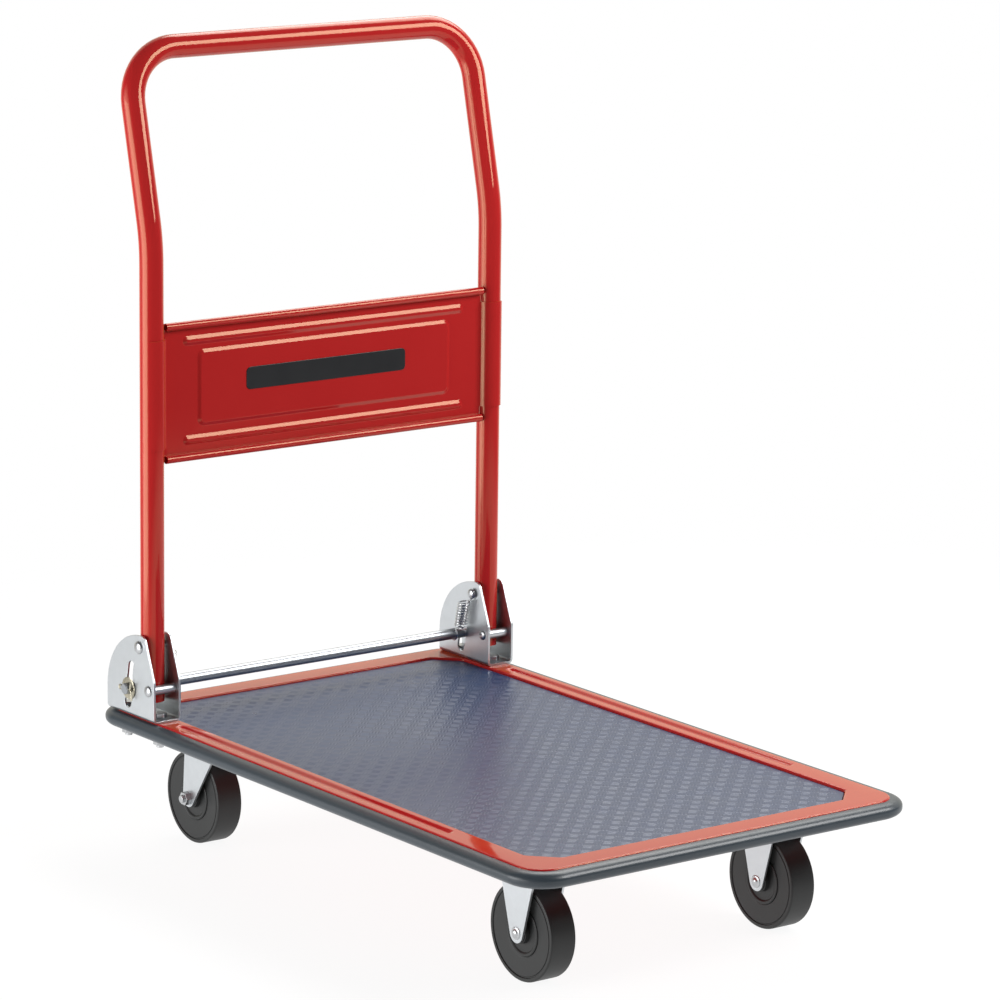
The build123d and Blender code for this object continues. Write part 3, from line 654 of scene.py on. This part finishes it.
deck_pan = outline("deck_pan_pressing", deck_length, deck_width,
                   [(DECK_CORNER, DECK_CORNER_SEGMENTS)], pan_low.z)
terrace([(0, deck_top - pan_low.z - RIM_BEND)])
terrace(bend(RIM_BEND, -90, 0))
bpy.ops.mesh.delete(type="ONLY_FACE")
mouth_margin = 2 * (BORDER - RECESS_BEND)
recess_mouth = (deck_length - mouth_margin, deck_width - mouth_margin, 1)
recess_steps = bend(RECESS_BEND, 0, 90) + [(0, mat_low.z - deck_top + RECESS_BEND)]
press_patch((0, 0, deck_top), LYING, recess_mouth, cut_corners(RECESS_BEND), recess_steps)
print("recess mouth", [round(size / MM, 1) for size in recess_mouth[:2]], "mm")

# %% Pressing the side grooves
GROOVE_MOUTH = 15.0 * MM
GROOVE_BEND = 6.0 * MM
GROOVE_SLOPE = 34
GROOVE_REAR_X = -262.0 * MM
GROOVE_FRONT_X = 224.0 * MM
groove_y = deck_width / 2 - BORDER / 2 - (RIM_BEND - RECESS_BEND) / 2
groove_x = (GROOVE_FRONT_X + GROOVE_REAR_X) / 2
groove_size = (GROOVE_FRONT_X - GROOVE_REAR_X, GROOVE_MOUTH, 1)
groove_steps = bend(GROOVE_BEND, 0, GROOVE_SLOPE) + bend(GROOVE_BEND, GROOVE_SLOPE, 0)
for side in (1, -1):
    press_patch((groove_x, side * groove_y, deck_top), LYING, groove_size,
                round_ends(GROOVE_MOUTH), groove_steps)
fill_round(AXIS_Z, deck_top)
weld()
apply_modifier(deck_pan, "SOLIDIFY", thickness=SHEET, offset=-1)
settle(deck_pan, red_paint, "deck_pan", crease=50)

# %% [markdown]
# ## Mat
# The mat is a vinyl sheet with groups of small raised bars, each group square to the next,
# so that a load doesn't slide. A bump would do from far off, but bars catch light along their edges.
# One bar is modelled, three make a group, four groups make a cell, and the cell is repeated
# along and across the recess.

# %% Mat sheet
MAT_GAP = 0.6 * MM
MAT_EDGE = 0.8 * MM
BAR_HEIGHT = 0.19 * MM
mat_length = mat_high.x - mat_low.x
mat_width = mat_high.y - mat_low.y
sheet_top = mat_high.z - BAR_HEIGHT
mat = outline("mat_sheet", mat_length, mat_width, cut_corners(-MAT_GAP), mat_low.z)
terrace([(0, sheet_top - mat_low.z - MAT_EDGE)])
terrace(bend(MAT_EDGE, -90, 0, count=3))
settle(mat, mat_vinyl, "deck_mat")

# %% One group of raised bars
BAR_LENGTH = 9.0 * MM
BAR_WIDTH = 2.2 * MM
BAR_SPACING = 3.3 * MM
BAR_TAPER = 0.85
BAR_TURN = radians(45)
GROUP_PITCH = 12.4 * MM
cells_x = int(mat_length / (2 * GROUP_PITCH))
cells_y = int(mat_width / (2 * GROUP_PITCH))
first_group = Vector(((0.5 - cells_x) * GROUP_PITCH, (0.5 - cells_y) * GROUP_PITCH, sheet_top))
put_down()
bpy.ops.mesh.primitive_cube_add(size=1, location=first_group + Vector((0, 0, BAR_HEIGHT / 2)))
bars = bpy.context.object
bars.name = "mat_bars"
bars.scale = (BAR_LENGTH, BAR_WIDTH, BAR_HEIGHT)
put_in_place()
take(bars, "EDIT")
pick("faces", lambda f: f.normal.z < -FACING)
bpy.ops.mesh.delete(type="FACE")
pick("faces", lambda f: f.normal.z > FACING)
bpy.ops.transform.resize(value=(1 - BAR_TAPER * BAR_WIDTH / BAR_LENGTH, 1 - BAR_TAPER, 1),
                         center_override=first_group)
pick_all()
for shift in (BAR_SPACING, -2 * BAR_SPACING):
    bpy.ops.mesh.duplicate()
    bpy.ops.transform.translate(value=(0, shift, 0))
pick_all()
bpy.ops.transform.rotate(value=BAR_TURN, orient_axis="Z", center_override=first_group)
print("mat cells", cells_x, "by", cells_y)

# %% Bars all over the mat
GROUP_CORE = 5.2 * MM
CUT_MARGIN = 1 * MM
for across, along, quarter in ((1, 0, 90), (0, 1, 90), (1, 1, 0)):
    pick("verts", lambda v: (v.co - first_group).length < GROUP_CORE)
    bpy.ops.mesh.select_linked()
    bpy.ops.mesh.duplicate()
    bpy.ops.transform.rotate(value=radians(quarter), orient_axis="Z", center_override=first_group)
    bpy.ops.transform.translate(value=(across * GROUP_PITCH, along * GROUP_PITCH, 0))
for count, way in ((cells_x, (1, 0, 0)), (cells_y, (0, 1, 0))):
    apply_modifier(bars, "ARRAY", count=count, use_relative_offset=False, use_constant_offset=True,
                   constant_offset_displace=Vector(way) * 2 * GROUP_PITCH)
take(bars, "EDIT")
cut_line = mat_high.x + mat_high.y - RECESS_CUT - CUT_MARGIN
pick("verts", lambda v: abs(v.co.x) + abs(v.co.y) > cut_line)
bpy.ops.mesh.select_linked()
bpy.ops.mesh.delete(type="VERT")
settle(bars, mat_vinyl, like="deck_mat", crease=8)

# %% [markdown]
# ## Edge bumper
# A vinyl moulding is pushed over the rim all round. Its section is a fat D: a soft shoulder level
# with the deck, a round nose, and an undercut. A section swept along the rim would do, but terraces
# up and down from the widest line follow the corners by themselves. The open middle is bridged
# where it lies against the rim.

# %% Bumper ring
bumper_low, bumper_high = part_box("edge_bumper")
BUMPER_REACH = bumper_high.x - pan_high.x
BUMPER_CORNER_SEGMENTS = 16
NOSE_FLAT = 2.0 * MM
SHOULDER_IN = 11.0 * MM
nose_height = (bumper_high.z - bumper_low.z - NOSE_FLAT) / 2


def extrude_by(move):
    """Extrudes what is selected by a vector."""
    bpy.ops.mesh.extrude_region_move(TRANSFORM_OT_translate={"value": tuple(move)})


def shoulder(count=9):
    """Steps over a quarter ellipse, then level to the rim."""
    angles = [pi / 2 * i / count for i in range(count + 1)]
    over = [(SHOULDER_IN * (cos(a) - cos(b)), nose_height * (sin(b) - sin(a)))
            for a, b in zip(angles, angles[1:])]
    return over + [(BUMPER_REACH - SHOULDER_IN, 0)]


bumper = outline("edge_bumper_ring", bumper_high.x - bumper_low.x, bumper_high.y - bumper_low.y,
                 [(DECK_CORNER + BUMPER_REACH, BUMPER_CORNER_SEGMENTS)],
                 bumper_low.z + nose_height)
extrude_by((0, 0, NOSE_FLAT))
face_outwards()
for way in (1, -1):
    pick("faces", lambda f: f.normal.z * way > FACING)
    terrace(shoulder())
    bpy.ops.mesh.delete(type="FACE")
pick("edges", lambda e: e.is_boundary)
bpy.ops.mesh.bridge_edge_loops()
face_outwards()
settle(bumper, bumper_vinyl, "edge_bumper", crease=60)

# %% [markdown]
# ## Handle tube
# The handle is one tube bent on a machine: straight legs, a slight kink backwards, two tight top
# corners. A curve with a round bevel would do, but spinning a ring round each bend is what the
# bender does. Half of it is made, from the foot of one leg to the middle of the top bar, and mirrored.

# %% Places along the tube
TUBE_RADIUS = 12.7 * MM
TUBE_WALL = 1.5 * MM
TUBE_SIDES = 40
MIRROR_MERGE = 0.1 * MM
LEAN = radians(13.3)
KINK_RADIUS = 200 * MM
KINK_STEPS = 10
CORNER_RADIUS = 57 * MM
CORNER_STEPS = 14
LEG_FOOT_Z = 165.5 * MM
joints = {joint["name"]: joint for joint in frame["joints"]}
pivot = Vector(joints["handle_fold"]["pos_m"])
tube_low, tube_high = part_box("handle_frame")
leg_x = pivot.x
leg_y = tube_high.y - TUBE_RADIUS
top_x = tube_low.x + TUBE_RADIUS
top_z = tube_high.z - TUBE_RADIUS
kink_z = top_z - (leg_x - top_x) / tan(LEAN)
kink_run = KINK_RADIUS * tan(LEAN / 2)
lean_way = Vector((-sin(LEAN), 0, cos(LEAN)))
lean_length = (top_z - kink_z) / cos(LEAN) - kink_run - CORNER_RADIUS
corner_start = Vector((leg_x, leg_y, kink_z)) + lean_way * (kink_run + lean_length)
print("kink at", round(kink_z / MM, 1), "mm, top bar at", round(top_z / MM, 1), "mm")


# %% Bending the tube
def spin(angle, centre, axis, steps):
    """Spins what is selected by the right-hand rule; the operator itself turns the other way."""
    bpy.ops.mesh.spin(steps=steps, angle=angle, center=tuple(centre), axis=tuple(-Vector(axis)))


put_down()
bpy.ops.mesh.primitive_circle_add(vertices=TUBE_SIDES, radius=TUBE_RADIUS,
                                  location=(leg_x, leg_y, LEG_FOOT_Z))
tube = bpy.context.object
tube.name = "handle_tube"
put_in_place()
take(tube, "EDIT")
pick_all()
extrude_by((0, 0, kink_z - kink_run - LEG_FOOT_Z))
spin(-LEAN, (leg_x - KINK_RADIUS, leg_y, kink_z - kink_run), (0, 1, 0), KINK_STEPS)
extrude_by(lean_way * lean_length)
spin(pi / 2, corner_start - Vector((0, CORNER_RADIUS, 0)), lean_way.cross(Vector((0, -1, 0))),
     CORNER_STEPS)
extrude_by((0, CORNER_RADIUS - leg_y, 0))
weld()
apply_modifier(tube, "MIRROR", use_axis=(False, True, False), merge_threshold=MIRROR_MERGE)
take(tube, "EDIT")
face_outwards()
apply_modifier(tube, "SOLIDIFY", thickness=TUBE_WALL, offset=-1)
settle(tube, red_paint, "handle_frame", crease=50)

# %% [markdown]
# ## Handle panel
# A sheet between the legs braces the handle. Its long edges are rolled forwards, two beads and a
# raised field stiffen it, and a tab at each end wraps the front of a leg.
# It is worked as sheet too: cut into strips, pressed patch by patch, and rolled with a spin.

# %% Panel sheet
PANEL_SHEET = 1.2 * MM
LIP_RADIUS = 3.0 * MM
TAB_HEIGHT = 116 * MM
TAB_BEND = 5.0 * MM
TAB_END = radians(45)
TAB_CLEARANCE = 0.1 * MM
panel_low, panel_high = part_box("handle_panel")
panel_x = panel_low.x + PANEL_SHEET
panel_mid = (panel_low.z + panel_high.z) / 2
panel_height = panel_high.z - panel_low.z
tab_radius = TUBE_RADIUS + TAB_CLEARANCE + PANEL_SHEET
edge_y = leg_y - (tab_radius ** 2 - (panel_x - leg_x) ** 2) ** 0.5
bend_x = panel_x + TAB_BEND
bend_y = leg_y - ((tab_radius + TAB_BEND) ** 2 - (bend_x - leg_x) ** 2) ** 0.5
bend_angle = atan2(leg_y - bend_y, bend_x - leg_x)

put_down()
bpy.ops.mesh.primitive_plane_add(size=1, location=(panel_x, 0, panel_mid), rotation=STANDING)
panel = bpy.context.object
panel.name = "handle_panel_sheet"
panel.scale = (panel_height - 2 * LIP_RADIUS, 2 * edge_y, 1)
put_in_place()
take(panel, "EDIT")
pick_all()
bpy.ops.mesh.delete(type="ONLY_FACE")
print("panel height", round(panel_height / MM, 1), "mm")

# %% Panel pressings
BEAD_LENGTH = 364 * MM
BEAD_MOUTH = 11.0 * MM
BEAD_BEND = 1.6 * MM
BEAD_SLANT = 3.2 * MM
BEAD_CENTRE = 53 * MM
FIELD_LENGTH = 328 * MM
FIELD_HEIGHT = 83 * MM
FIELD_CORNER = 9 * MM
FIELD_RISE = 1.6 * MM
FIELD_BEND = 2.0 * MM
FIELD_SLANT = 3.0 * MM
PRESS_SLOPE = 30


def raised(radius, slant):
    """Steps up a slope from one bend to the other."""
    rise = (slant * cos(radians(PRESS_SLOPE)), slant * sin(radians(PRESS_SLOPE)))
    return bend(radius, 0, -PRESS_SLOPE, count=3) + [rise] + bend(radius, -PRESS_SLOPE, 0, count=3)


def press_panel(height, length, mouth, corners, steps):
    """Presses a rounded patch in the panel, at a height from its middle."""
    press_patch(Vector((panel_x, 0, panel_mid + height)), STANDING, (1, length, mouth),
                corners, steps)


field_steps = raised(FIELD_BEND, FIELD_SLANT)
for height in (BEAD_CENTRE, -BEAD_CENTRE):
    press_panel(height, BEAD_LENGTH, BEAD_MOUTH, round_ends(BEAD_MOUTH),
                raised(BEAD_BEND, BEAD_SLANT))
press_panel(FIELD_RISE, FIELD_LENGTH, FIELD_HEIGHT, [(FIELD_CORNER, PATCH_SEGMENTS)], field_steps)
fill_round(AXIS_X, panel_x)
field_x = panel_x + sum(rise for inward, rise in field_steps)
print("field stands out", round((field_x - panel_x) / MM, 2), "mm")

# %% Rolled lips and wrapped tabs
LIP_TURN = radians(300)
LIP_STEPS = 16
BEND_STEPS = 6
WRAP_STEPS = 14


def in_tab(item):
    """Whether a face or edge lies within the height of the tabs."""
    return abs(middle(item).z - panel_mid) < TAB_HEIGHT / 2


for end in (1, -1):
    lip_z = panel_mid + end * (panel_height / 2 - LIP_RADIUS)
    pick("edges", lambda e: near(middle(e).z, lip_z) and near(e.verts[0].co.z, e.verts[1].co.z))
    spin(end * LIP_TURN, (panel_x + LIP_RADIUS, 0, lip_z), (0, 1, 0), LIP_STEPS)
for end in (1, -1):
    tab_edge = ((0, 0, panel_mid + end * TAB_HEIGHT / 2), (0, 0, 1))
    tab_root = ((0, end * bend_y, 0), (0, 1, 0))
    for place, way in (tab_edge, tab_root):
        pick("faces", lambda f: near(middle(f).x, panel_x))
        bpy.ops.mesh.bisect(plane_co=place, plane_no=way)
pick("faces", lambda f: abs(middle(f).y) > bend_y and in_tab(f))
bpy.ops.mesh.delete(type="FACE")
for side in (1, -1):
    pick("edges", lambda e: all(near(v.co.y, side * bend_y) for v in e.verts)
         and near(middle(e).x, panel_x) and in_tab(e))
    spin(-side * bend_angle, (bend_x, side * bend_y, 0), (0, 0, 1), BEND_STEPS)
    spin(side * (bend_angle + TAB_END), (leg_x, side * leg_y, 0), (0, 0, 1), WRAP_STEPS)
weld()
apply_modifier(panel, "SOLIDIFY", thickness=PANEL_SHEET, offset=-1)
settle(panel, red_paint, "handle_panel", crease=50)

# %% [markdown]
# ## Blank plate
# A small plain black plate sits on the raised field. A box would do, but a real plate has round
# corners and a soft edge, so it is terraced up from its outline and then stood upright.

# %% Plain plate on the field
PLATE_LENGTH = 206 * MM
PLATE_HEIGHT = 24 * MM
PLATE_CORNER = 5 * MM
PLATE_CORNER_SEGMENTS = 6
PLATE_RISE = 0.8 * MM
PLATE_EDGE = 0.4 * MM
PLATE_UP = 5.7 * MM
plate = outline("blank_plate", PLATE_HEIGHT, PLATE_LENGTH,
                [(PLATE_CORNER, PLATE_CORNER_SEGMENTS)], 0)
terrace([(0, PLATE_RISE - PLATE_EDGE)])
terrace(bend(PLATE_EDGE, -90, 0, count=3))
put_down()
plate.rotation_euler = STANDING
plate.location = (field_x, 0, panel_mid + PLATE_UP)
settle(plate, plate_black, like="handle_panel")

# %% [markdown]
# ## Wheels
# A wheel is a rubber tyre moulded on a core. Both are round about the axle, so each is turned on a
# lathe: one vertex is drawn along the section, and the section is spun round. The face is slightly
# dished, with a fine groove inside the tread's edge, and the core shows as a raised ring half-way in.


# %% Turning a section
LATHE_WELD = 0.01 * MM


def turned(name, section, centre, steps=64):
    """Spins a section of (radius, distance along Y) points, in millimetres, round an axle."""
    put_down()
    bpy.ops.mesh.primitive_plane_add(size=MM)
    piece = bpy.context.object
    piece.name = name
    take(piece, "EDIT")
    bpy.ops.mesh.select_mode(type="VERT")
    pick_all()
    bpy.ops.mesh.merge(type="CENTER")
    bpy.ops.transform.translate(value=centre + Vector((0, section[0][1], section[0][0])) * MM)
    for (radius, along), (next_radius, next_along) in zip(section, section[1:]):
        extrude_by(Vector((0, next_along - along, next_radius - radius)) * MM)
    pick_all()
    spin(tau, centre, (0, 1, 0), steps)
    weld(LATHE_WELD)
    face_outwards()
    put_down()
    return piece


def both_ways(half):
    """A closed section from its half on one side: out along the mirrored half, back along this one."""
    return [(radius, -along) for radius, along in half] + half[::-1] + [(half[0][0], -half[0][1])]


def another(piece, name, move):
    """A copy of a piece with its own mesh, moved."""
    take(piece)
    bpy.ops.object.duplicate()
    copy = bpy.context.object
    copy.name = name
    copy.location = move
    return copy


# %% Turning the wheels
TYRE_HALF = [(25.0, 12.4), (26.0, 12.9), (29.0, 13.1), (44.0, 14.4), (44.5, 13.7), (45.5, 13.7),
             (46.0, 14.8), (48.2, 15.0), (49.1, 14.7), (49.7, 14.1), (50.0, 13.2), (50.0, 6.0)]
HUB_HALF = [(6.6, 17.5), (10.2, 17.5), (11.0, 16.7), (11.5, 12.5), (20.4, 12.2), (21.2, 13.2),
            (22.0, 13.7), (23.8, 13.7), (24.6, 13.2), (24.9, 12.2)]
TYRE_STEPS = 96
HUB_STEPS = 64
WHEELS = ("front_left", "front_right", "rear_left", "rear_right")
wheel_spots = {place: sum(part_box(f"tyre_{place}"), Vector()) / 2 for place in WHEELS}
tyre = turned("tyre_pattern", both_ways(TYRE_HALF), Vector(), TYRE_STEPS)
hub = turned("hub_pattern", both_ways(HUB_HALF), Vector(), HUB_STEPS)
for place, spot in wheel_spots.items():
    settle(another(tyre, f"tyre_{place}_turned", spot), wheel_rubber, f"tyre_{place}", crease=30)
    settle(another(hub, f"hub_{place}_turned", spot), wheel_rubber, f"hub_{place}", crease=30)
for pattern in (tyre, hub):
    take(pattern)
    bpy.ops.object.delete()

# %% [markdown]
# ## Pins and rivets
# The handle turns on two pins, stops against two more, and the front wheels run on rivets.
# Each is round, so it is turned too: a domed head, a shank, and a head at the other end.


# %% Heads and shanks
DOME = [(1.0, 0.0), (1.0, 0.25), (0.93, 0.52), (0.75, 0.78), (0.45, 0.95), (0.0, 1.0)]
FLANGE = [(1.0, 0.0), (1.0, 0.2), (0.9, 0.36), (0.66, 0.4), (0.6, 0.62), (0.42, 0.88),
          (0.2, 1.0), (0.0, 1.0)]
PIN_STEPS = 40


def head(form, radius, height):
    """A head's section from its seat to its top; a form is in shares of the radius and height."""
    return [(across * radius, up * height) for across, up in form]


def headed_pin(node, axle, shank, seats, heads):
    """A pin along Y with a head beyond each seat; seats are distances from the axle point."""
    low = [(radius, seats[0] - along) for radius, along in heads[0][::-1]]
    high = [(radius, seats[1] + along) for radius, along in heads[1]]
    section = low + [(shank, seats[0]), (shank, seats[1])] + high
    settle(turned(node + "_turned", section, axle, PIN_STEPS), fastener_zinc, node, crease=40)


# %% Turning the pins
SIDES = (("left", 1), ("right", -1))
PLATE_OUTER = 236.0
PLATE_INNER = 202.0
POST_STAND = 2.6
PIVOT_SHANK = 3.6
PIVOT_HEADS = [head(DOME, 5.6, 2.8), head(DOME, 7.0, 3.6)]
STOP_SHANK = 3.0
STOP_HEADS = [head(DOME, 5.4, 2.4), head(DOME, 6.0, 2.8)]
RIVET_SHANK = 4.0
RIVET_HEIGHT = 3.0
RIVET_HEADS = [head(FLANGE, 6.5, RIVET_HEIGHT)] * 2
stop_low, stop_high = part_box("stop_pin_left")
stop_spot = (stop_low + stop_high) / 2
for name, way in SIDES:
    seats = sorted((way * (PLATE_INNER - POST_STAND), way * PLATE_OUTER))
    headed_pin(f"handle_pivot_{name}", Vector((pivot.x, 0, pivot.z)), PIVOT_SHANK, seats,
               PIVOT_HEADS[::way])
    seats = sorted((way * PLATE_INNER, way * PLATE_OUTER))
    headed_pin(f"stop_pin_{name}", Vector((stop_spot.x, 0, stop_spot.z)), STOP_SHANK, seats,
               STOP_HEADS[::way])
    axle_low, axle_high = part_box(f"front_axle_{name}")
    reach = (axle_high.y - axle_low.y) / 2 / MM - RIVET_HEIGHT
    headed_pin(f"front_axle_{name}", (axle_low + axle_high) / 2, RIVET_SHANK, (-reach, reach),
               RIVET_HEADS)

# %% [markdown]
# ## Lock bar
# A round bar runs through both brackets. Two springs draw it up behind the legs, and a foot presses
# it down to let the handle fold. Its ends are chamfered, a washer sits outside each bracket and a
# split pin holds it there. All of it is round, so the lathe does it.

# %% Bar and washers
BAR_CHAMFER = 1.0
BAR_STEPS = 40
WASHER_STEPS = 48
WASHER_HALF = 0.75
WASHER_FIT = 0.2
WASHER_EASE = 0.5
WASHER_RIM = 0.35
bar_low, bar_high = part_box("lock_bar")
bar_spot = (bar_low + bar_high) / 2
bar_radius = (bar_high.x - bar_low.x) / 2 / MM
bar_half = (bar_high.y - bar_low.y) / 2 / MM
bar_section = [(0, -bar_half), (bar_radius - BAR_CHAMFER, -bar_half),
               (bar_radius, BAR_CHAMFER - bar_half), (bar_radius, bar_half - BAR_CHAMFER),
               (bar_radius - BAR_CHAMFER, bar_half), (0, bar_half)]
bar = turned("lock_bar_turned", bar_section, bar_spot, BAR_STEPS)
settle(bar, bar_steel, "lock_bar", crease=30)
washer_low, washer_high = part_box("bar_washers")
washer_radius = (washer_high.x - washer_low.x) / 2 / MM
washer_y = washer_high.y - WASHER_HALF * MM
washer_section = both_ways([(bar_radius + WASHER_FIT, WASHER_HALF),
                            (washer_radius - WASHER_EASE, WASHER_HALF),
                            (washer_radius, WASHER_RIM)])
washers = [turned(f"bar_washer_{name}", washer_section,
                  Vector((bar_spot.x, way * washer_y, bar_spot.z)), WASHER_STEPS)
           for name, way in SIDES]
settle_pair(washers, yellow_zinc, "bar_washers", crease=40)

# %% [markdown]
# ## Wire: split pins and springs
# A split pin is half-round wire folded on itself: an eye at the back, two legs spread at the front.
# A tension spring is a close coil with a hook at each end. Wire is easiest as a curve with a round
# bevel, converted to a mesh once its path is right.

# %% Drawing wire
WIRE_ROUNDING = 2


def wire(name, path, radius):
    """A mesh of round wire along a path of points in millimetres."""
    curve = bpy.data.curves.new(name, "CURVE")
    curve.dimensions = "3D"
    curve.bevel_depth = radius * MM
    curve.bevel_resolution = WIRE_ROUNDING
    curve.use_fill_caps = True
    spline = curve.splines.new("POLY")
    spline.points.add(len(path) - 1)
    for point, place in zip(spline.points, path):
        point.co = (*(Vector(place) * MM), 1)
    piece = bpy.data.objects.new(name, curve)
    bpy.context.scene.collection.objects.link(piece)
    take(piece)
    bpy.ops.object.convert(target="MESH")
    return bpy.context.object


def arc(centre, radius, start, end, count):
    """Points round an arc across Y; angles are in degrees from forwards, up positive."""
    angles = [radians(start + (end - start) * i / count) for i in range(count + 1)]
    return [Vector((centre[0] + radius * cos(a), centre[1], centre[2] + radius * sin(a)))
            for a in angles]


# %% Split pins
PIN_OUT = 240.4
PIN_WIRE = 1.0
LEG_APART = 0.8
EYE_RADIUS = 2.3
EYE_BACK = 4.2
LOWER_CURL = 2.2
LOWER_CENTRE = Vector((2.2, -0.4, -3.0))
LOWER_END = Vector((0.6, 0, -8.5))
UPPER_CURL = 1.8
UPPER_CENTRE = Vector((2.0, 0.6, 2.6))
UPPER_END = Vector((0.8, 0, 5.5))
bar_x = bar_spot.x / MM
bar_z = bar_spot.z / MM
pins = []
for name, way in SIDES:
    y = way * PIN_OUT
    back_x = bar_x - bar_radius
    front_x = bar_x + bar_radius
    eye = arc((back_x - EYE_BACK, y, bar_z), EYE_RADIUS, -50, -310, 14)
    under = arc((front_x + LOWER_CENTRE.x, y + way * LOWER_CENTRE.y, bar_z + LOWER_CENTRE.z),
                LOWER_CURL, 90, 15, 5)
    over = arc((front_x + UPPER_CENTRE.x, y + way * UPPER_CENTRE.y, bar_z + UPPER_CENTRE.z),
               UPPER_CURL, -90, -20, 5)
    lower_leg = [eye[0], Vector((back_x, y, bar_z - LEG_APART)), *under, under[-1] + LOWER_END]
    upper_leg = [eye[-1], Vector((back_x, y, bar_z + LEG_APART)), *over, over[-1] + UPPER_END]
    pins.append(wire(f"split_pin_{name}", lower_leg[::-1] + eye + upper_leg, PIN_WIRE))
settle_pair(pins, yellow_zinc, "split_pins", crease=60)

# %% Path of a lock spring
COIL_RADIUS = 6.7
COIL_TURNS = 9
COIL_TOP = Vector((-311.0, 193.8, 216.0))
COIL_BOTTOM = Vector((-317.2, 193.4, 187.2))
TURN_STEPS = 18
TOP_HOOK_RADIUS = 4.6
BOTTOM_HOOK_GAP = 0.95
BOTTOM_HOOK_Y = 189.6
LEAD_IN = [Vector((-305.4, 198.6, 219.4)), Vector((-304.6, 196.4, 217.6))]
LEAD_OUT = [Vector((-311.6, 191.0, 185.6)), Vector((-315.4, 189.9, 184.8))]
neck = Vector((pivot.x / MM, PLATE_INNER - POST_STAND / 2, pivot.z / MM))
coil_steps = COIL_TURNS * TURN_STEPS
coil = []
for i in range(coil_steps + 1):
    angle = tau * i / TURN_STEPS
    spot = COIL_TOP.lerp(COIL_BOTTOM, i / coil_steps)
    coil.append(spot + Vector((COIL_RADIUS * cos(angle), COIL_RADIUS * sin(angle), 0)))
top_hook = arc(neck, TOP_HOOK_RADIUS, -60, 200, 16)
bottom_hook = arc((bar_x, BOTTOM_HOOK_Y, bar_z), bar_radius + BOTTOM_HOOK_GAP, 60, -200, 18)
spring_path = top_hook[::-1] + LEAD_IN + coil + LEAD_OUT + bottom_hook
print("spring path", len(spring_path), "points")

# %% Lock springs
SPRING_WIRE = 0.85
SPRING_CREASE = radians(60)
for name, way in SIDES:
    path = [Vector((p.x, way * p.y, p.z)) for p in spring_path]
    spring = wire(f"lock_spring_{name}_wound", path, SPRING_WIRE)
    take(spring)
    bpy.ops.object.shade_smooth_by_angle(angle=SPRING_CREASE)
    spring.data.materials.append(spring_wire)
    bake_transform(spring, "deck", "lock_bar", start=Vector((-311.0, way * 193.8, 216)) * MM,
             end=Vector((-316.8, way * 193.4, 188)) * MM)
    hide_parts(f"lock_spring_{name}")
    print(spring.name, "faces", len(spring.data.polygons))

# %% [markdown]
# ## Brackets, forks and fasteners
# The solids already have the shape of the cut and bent sheet. What they lack is the small round
# that every sheared edge has, which catches a line of light. A copy of each solid is merged, its flat
# faces are joined up, and its edges are rounded by a bevel.

# %% Rounding the edges of a solid
SOLID_WELD = 0.002 * MM
FLAT_ANGLE = radians(1.0)
SHARP_ANGLE = radians(40)


def edged_copy(node, finish, width, segments):
    """A copy of a CAD node with its sharp edges rounded, to a width in millimetres."""
    piece = bpy.data.objects.new(node + "_edged", nodes[node].data.copy())
    bpy.context.scene.collection.objects.link(piece)
    take(piece, "EDIT")
    weld(SOLID_WELD)
    bpy.ops.mesh.dissolve_limited(angle_limit=FLAT_ANGLE)
    bpy.ops.mesh.normals_make_consistent(inside=False)
    apply_modifier(piece, "BEVEL", width=width * MM, segments=segments, limit_method="ANGLE",
                   angle_limit=SHARP_ANGLE, use_clamp_overlap=True)
    settle(piece, finish, node, crease=40)


for side in ("left", "right"):
    edged_copy(f"bracket_{side}", bright_zinc, width=0.5, segments=2)
    edged_copy(f"front_fork_{side}", bright_zinc, width=0.9, segments=3)
    edged_copy(f"rear_fork_{side}", bright_zinc, width=0.7, segments=3)
    edged_copy(f"swivel_plate_{side}", bright_zinc, width=0.5, segments=2)
    edged_copy(f"rear_axle_bolt_{side}", fastener_zinc, width=0.5, segments=2)
    edged_copy(f"rear_axle_nut_{side}", fastener_zinc, width=0.5, segments=2)
    edged_copy(f"stop_sleeve_{side}", bright_zinc, width=0.5, segments=2)
for node in ("bracket_bolts", "bracket_nuts", "bracket_washers", "caster_bolts", "caster_nuts"):
    edged_copy(node, fastener_zinc, width=0.4, segments=1)

# %% [markdown]
# ## Finishes on the plain solids
# What is left shows little or nothing, such as the channels under the deck and the balls in the
# swivels. Those solids stay as they are and take the finish of their slot.

# %% Finishing the remaining solids
SLOT_FINISHES = {"gloss_red_paint": red_paint, "ribbed_mat": mat_vinyl,
                 "bumper_rubber": bumper_vinyl, "bright_zinc": bright_zinc,
                 "fastener_zinc": fastener_zinc, "yellow_zinc": yellow_zinc,
                 "spring_steel": spring_wire, "wheel_rubber": wheel_rubber,
                 "wheel_core": wheel_rubber}
for node, slot in slots.items():
    nodes[node].data.materials.clear()
    nodes[node].data.materials.append(SLOT_FINISHES[slot])
print("solids with a finish", len(slots))
